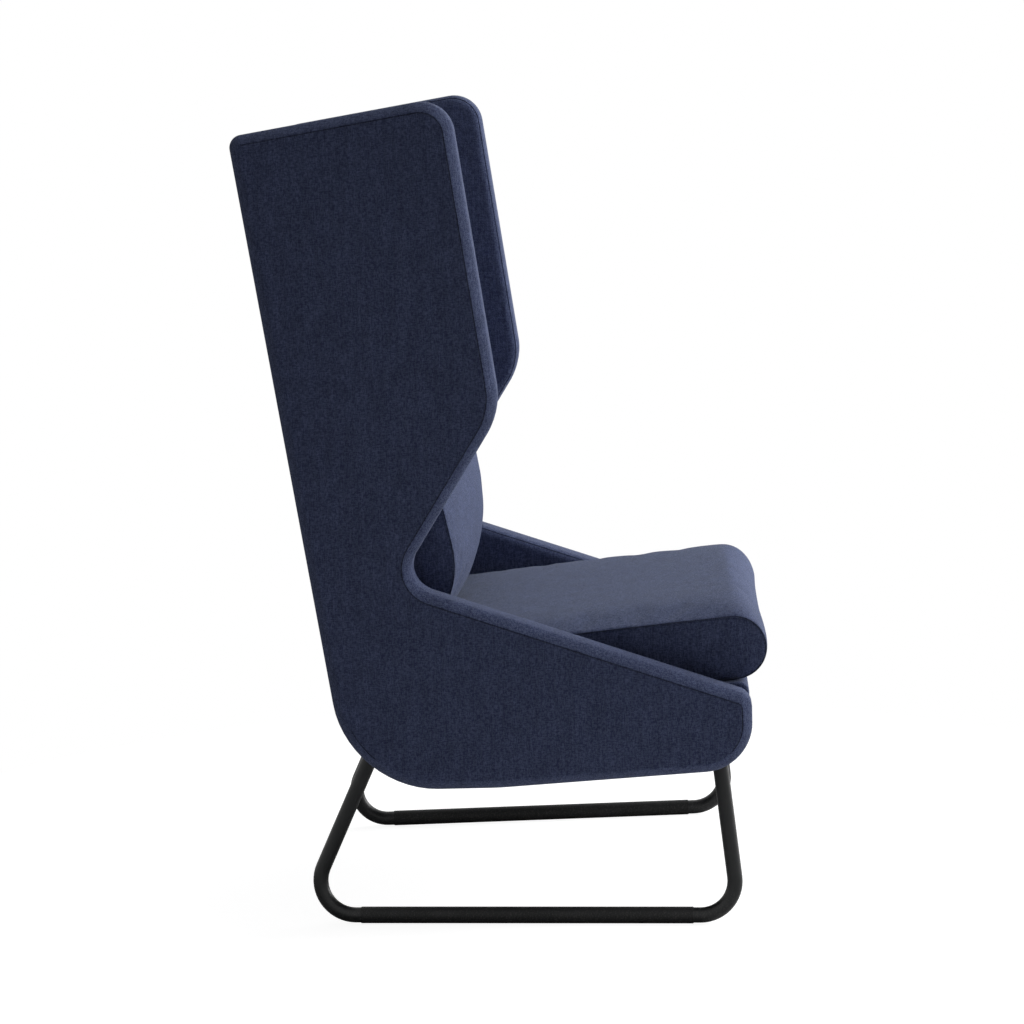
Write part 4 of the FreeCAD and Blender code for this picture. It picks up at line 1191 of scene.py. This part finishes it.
def lining(name, colour, pale, thread_scale):
    """A dark plain cloth, woven or felted."""
    material, tree, shader, place, normal = new_finish(name)
    weave = place_group(tree, wool_weave, place, normal)
    threads = remap(tree, noise(tree, place, thread_scale, 4.0, 0.75), 0.45, 0.75)
    join(tree, blend_colours(tree, threads, colour, pale), shader.inputs["Base Color"])
    join(tree, remap(tree, threads, 0.0, 1.0, 0.80, 0.95), shader.inputs["Roughness"])
    shader.inputs["Specular IOR Level"].default_value = 0.2
    shader.inputs["Sheen Weight"].default_value = 0.15
    both = arithmetic(tree, "ADD", weave.outputs["Weave"], threads)
    bump(tree, shader, both, 0.4, 0.0004)
    return material


WEB_PITCH = 0.004
WEB_RIB_PITCH = 0.0025
WEB_DARK = (0.012, 0.012, 0.013)
WEB_PALE = (0.055, 0.053, 0.05)


def webbing(name):
    material, tree, shader, place, normal = new_finish(name)
    split = tree.nodes.new("ShaderNodeSeparateXYZ")
    join(tree, place, split.inputs[0])
    turns_across = arithmetic(tree, "MULTIPLY", split.outputs[0], 2 * math.pi / WEB_PITCH)
    turns_along = arithmetic(tree, "MULTIPLY", split.outputs[1], 2 * math.pi / WEB_RIB_PITCH)
    across = arithmetic(tree, "SINE", turns_across)
    along = arithmetic(tree, "SINE", turns_along)
    ribs = arithmetic(tree, "MULTIPLY_ADD", along, 0.4, across)
    rib = remap(tree, ribs, -1.4, 1.4)
    join(tree, blend_colours(tree, rib, WEB_DARK, WEB_PALE), shader.inputs["Base Color"])
    join(tree, remap(tree, rib, 0.0, 1.0, 0.9, 0.75), shader.inputs["Roughness"])
    bump(tree, shader, rib, 0.6, 0.0006)
    return material


finishes["foam"] = foam("upholstery_foam")
finishes["deck_cloth"] = lining("deck_lining", (0.014, 0.016, 0.022), (0.035, 0.037, 0.046), 800.0)
# A darker copy of the lining for the grooves of the stitched border: painted shade.
deck_stitch_shade = lining("deck_stitch_shade", (0.006, 0.007, 0.010), (0.016, 0.017, 0.022), 800.0)
finishes["dust_cloth"] = lining("dust_cloth", (0.010, 0.010, 0.011), (0.040, 0.040, 0.042), 320.0)
finishes["webbing"] = webbing("elastic_webbing")

# %% [markdown]
# The bolts, washers and inserts are zinc plated. Thin plating keeps the brushing of the
# steel below it and shows faint bluish and yellowish clouds.

# %% Zinc plating
ZINC_BLUISH = (0.58, 0.60, 0.64)
ZINC_YELLOWISH = (0.66, 0.63, 0.56)


def zinc(name):
    material, tree, shader, place, normal = new_finish(name)
    drawn = vector_arithmetic(tree, "MULTIPLY", place, (300.0, 2600.0, 2600.0))
    brushing = noise(tree, drawn, 1.0, 2.0)
    cloud = remap(tree, noise(tree, place, 120.0, 2.0), 0.4, 0.6)
    join(tree, blend_colours(tree, cloud, ZINC_BLUISH, ZINC_YELLOWISH), shader.inputs["Base Color"])
    join(tree, remap(tree, brushing, 0.3, 0.7, 0.26, 0.44), shader.inputs["Roughness"])
    shader.inputs["Metallic"].default_value = 1.0
    bump(tree, shader, brushing, 0.2, 0.0001)
    return material


finishes["zinc_steel"] = zinc("zinc_plate")

# %% Hand out the finishes
def finish_of(slot_name):
    return finishes[slot_name.split(".")[0]]


for node in frame["nodes"].values():
    for material_slot in node.material_slots:
        material_slot.material = finish_of(material_slot.material.name)
for piece in (left_panel, right_panel, back_cover, front_cover):
    piece.data.materials[CLOTH_SLOT] = finishes["shell_fabric"]
    piece.data.materials[SEAM_SLOT] = seam_wool
seat_deck.data.materials[CLOTH_SLOT] = finishes["deck_cloth"]
seat_deck.data.materials[SEAM_SLOT] = deck_stitch_shade
for piece in (seat_pad, back_pad):
    piece.data.materials.clear()
    piece.data.materials.append(finishes["cushion_fabric"])
for piece in (*seat_rolls, *back_rolls):
    piece.data.materials.append(seam_wool)
print("finishes: %s" % ", ".join(sorted(finishes)))

# %% [markdown]
# The light is that of a product studio: two broad soft lamps in front, one high and one
# lower and further to the chair's far side, a weaker one overhead, and pale surroundings.
# The side that faces the camera gets only what the room gives back, so it stays dark. One
# lamp could light the front alone, but its shadows inside the shell would be too hard.
# The lamps are kept at a level where a colour shows about as it is written.

# %% Lamps
def lamp(name, place, aim_at, size, power):
    """A square area lamp at a place, turned to a point."""
    deselect()
    bpy.ops.object.light_add(type="AREA", location=place)
    made = bpy.context.object
    made.name = name
    made.data.size = size
    made.data.energy = power
    made.rotation_euler = (Vector(aim_at) - Vector(place)).to_track_quat("-Z", "Y").to_euler()
    return made


lamp("high_front_lamp", (0.3, -3.2, 2.4), (0, 0, 0.5), 1.8, 85)
lamp("low_front_lamp", (1.9, -2.7, 1.1), (0, 0, 0.65), 1.8, 80)
lamp("overhead_lamp", (0.3, -0.3, 3.4), (0, 0, 0.4), 2.6, 30)

# %% [markdown]
# The room is plain: an even grey light for the object and white for the camera. The floor
# shows the chair's shadow near it and fades into the white further out.

# %% World and floor
AMBIENT = 0.14

world = bpy.data.worlds.new("studio")
bpy.context.scene.world = world
world.use_nodes = True
sky = world.node_tree
sky.nodes.clear()
path = sky.nodes.new("ShaderNodeLightPath")
seen = arithmetic(sky, "MAXIMUM", path.outputs["Is Camera Ray"], path.outputs["Is Transmission Ray"])
seen = arithmetic(sky, "MAXIMUM", seen, path.outputs["Is Glossy Ray"])
strength = remap(sky, seen, 0.0, 1.0, AMBIENT, 1.0)
background = sky.nodes.new("ShaderNodeBackground")
background.inputs["Color"].default_value = (1, 1, 1, 1)
join(sky, strength, background.inputs["Strength"])
output = sky.nodes.new("ShaderNodeOutputWorld")
join(sky, background.outputs[0], output.inputs["Surface"])

FLOOR_SIZE = 40
SHADOW_SHARE = 0.45
WHITE_NEAR = 1.66
SHADOW_NEAR = 0.5
SHADOW_FAR = 1.2

deselect()
bpy.ops.mesh.primitive_plane_add(size=FLOOR_SIZE, location=(0, 0, 0))
floor = bpy.context.object
floor.name = "floor"
floor.data.name = "floor"
floor_material = bpy.data.materials.new("pale_floor")
floor_material.use_nodes = True
tree = floor_material.node_tree
tree.nodes.clear()
place = tree.nodes.new("ShaderNodeTexCoord").outputs["Object"]
reach = add_node(tree, "ShaderNodeVectorMath", operation="LENGTH")
join(tree, place, reach.inputs[0])
near = remap(tree, reach.outputs["Value"], SHADOW_NEAR, SHADOW_FAR, SHADOW_SHARE, 0.0)
path = tree.nodes.new("ShaderNodeLightPath")
plain = tree.nodes.new("ShaderNodeBsdfDiffuse")
plain.inputs["Color"].default_value = (0.86, 0.86, 0.86, 1)
white = tree.nodes.new("ShaderNodeEmission")
glow = remap(tree, reach.outputs["Value"], SHADOW_NEAR, SHADOW_FAR, WHITE_NEAR, 1.0)
join(tree, glow, white.inputs["Strength"])
shown = tree.nodes.new("ShaderNodeMixShader")
join(tree, near, shown.inputs[0])
join(tree, white.outputs[0], shown.inputs[1])
join(tree, plain.outputs[0], shown.inputs[2])
either = tree.nodes.new("ShaderNodeMixShader")
join(tree, path.outputs["Is Camera Ray"], either.inputs[0])
join(tree, plain.outputs[0], either.inputs[1])
join(tree, shown.outputs[0], either.inputs[2])
output = tree.nodes.new("ShaderNodeOutputMaterial")
join(tree, either.outputs[0], output.inputs["Surface"])
floor.data.materials.append(floor_material)
floor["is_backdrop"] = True

# %% [markdown]
# Fabric may stand a little proud of the hard pieces under it, so the box of the dressed
# chair is printed after the box of the bare one, and the two can be compared.

boxes = {"cad": cad_box, "visual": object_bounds()}
sizes = {name: [[float(value) for value in corner] for corner in box] for name, box in boxes.items()}
for name, (low, high) in sizes.items():
    print(name, "box", [round(top - bottom, 4) for bottom, top in zip(low, high)])
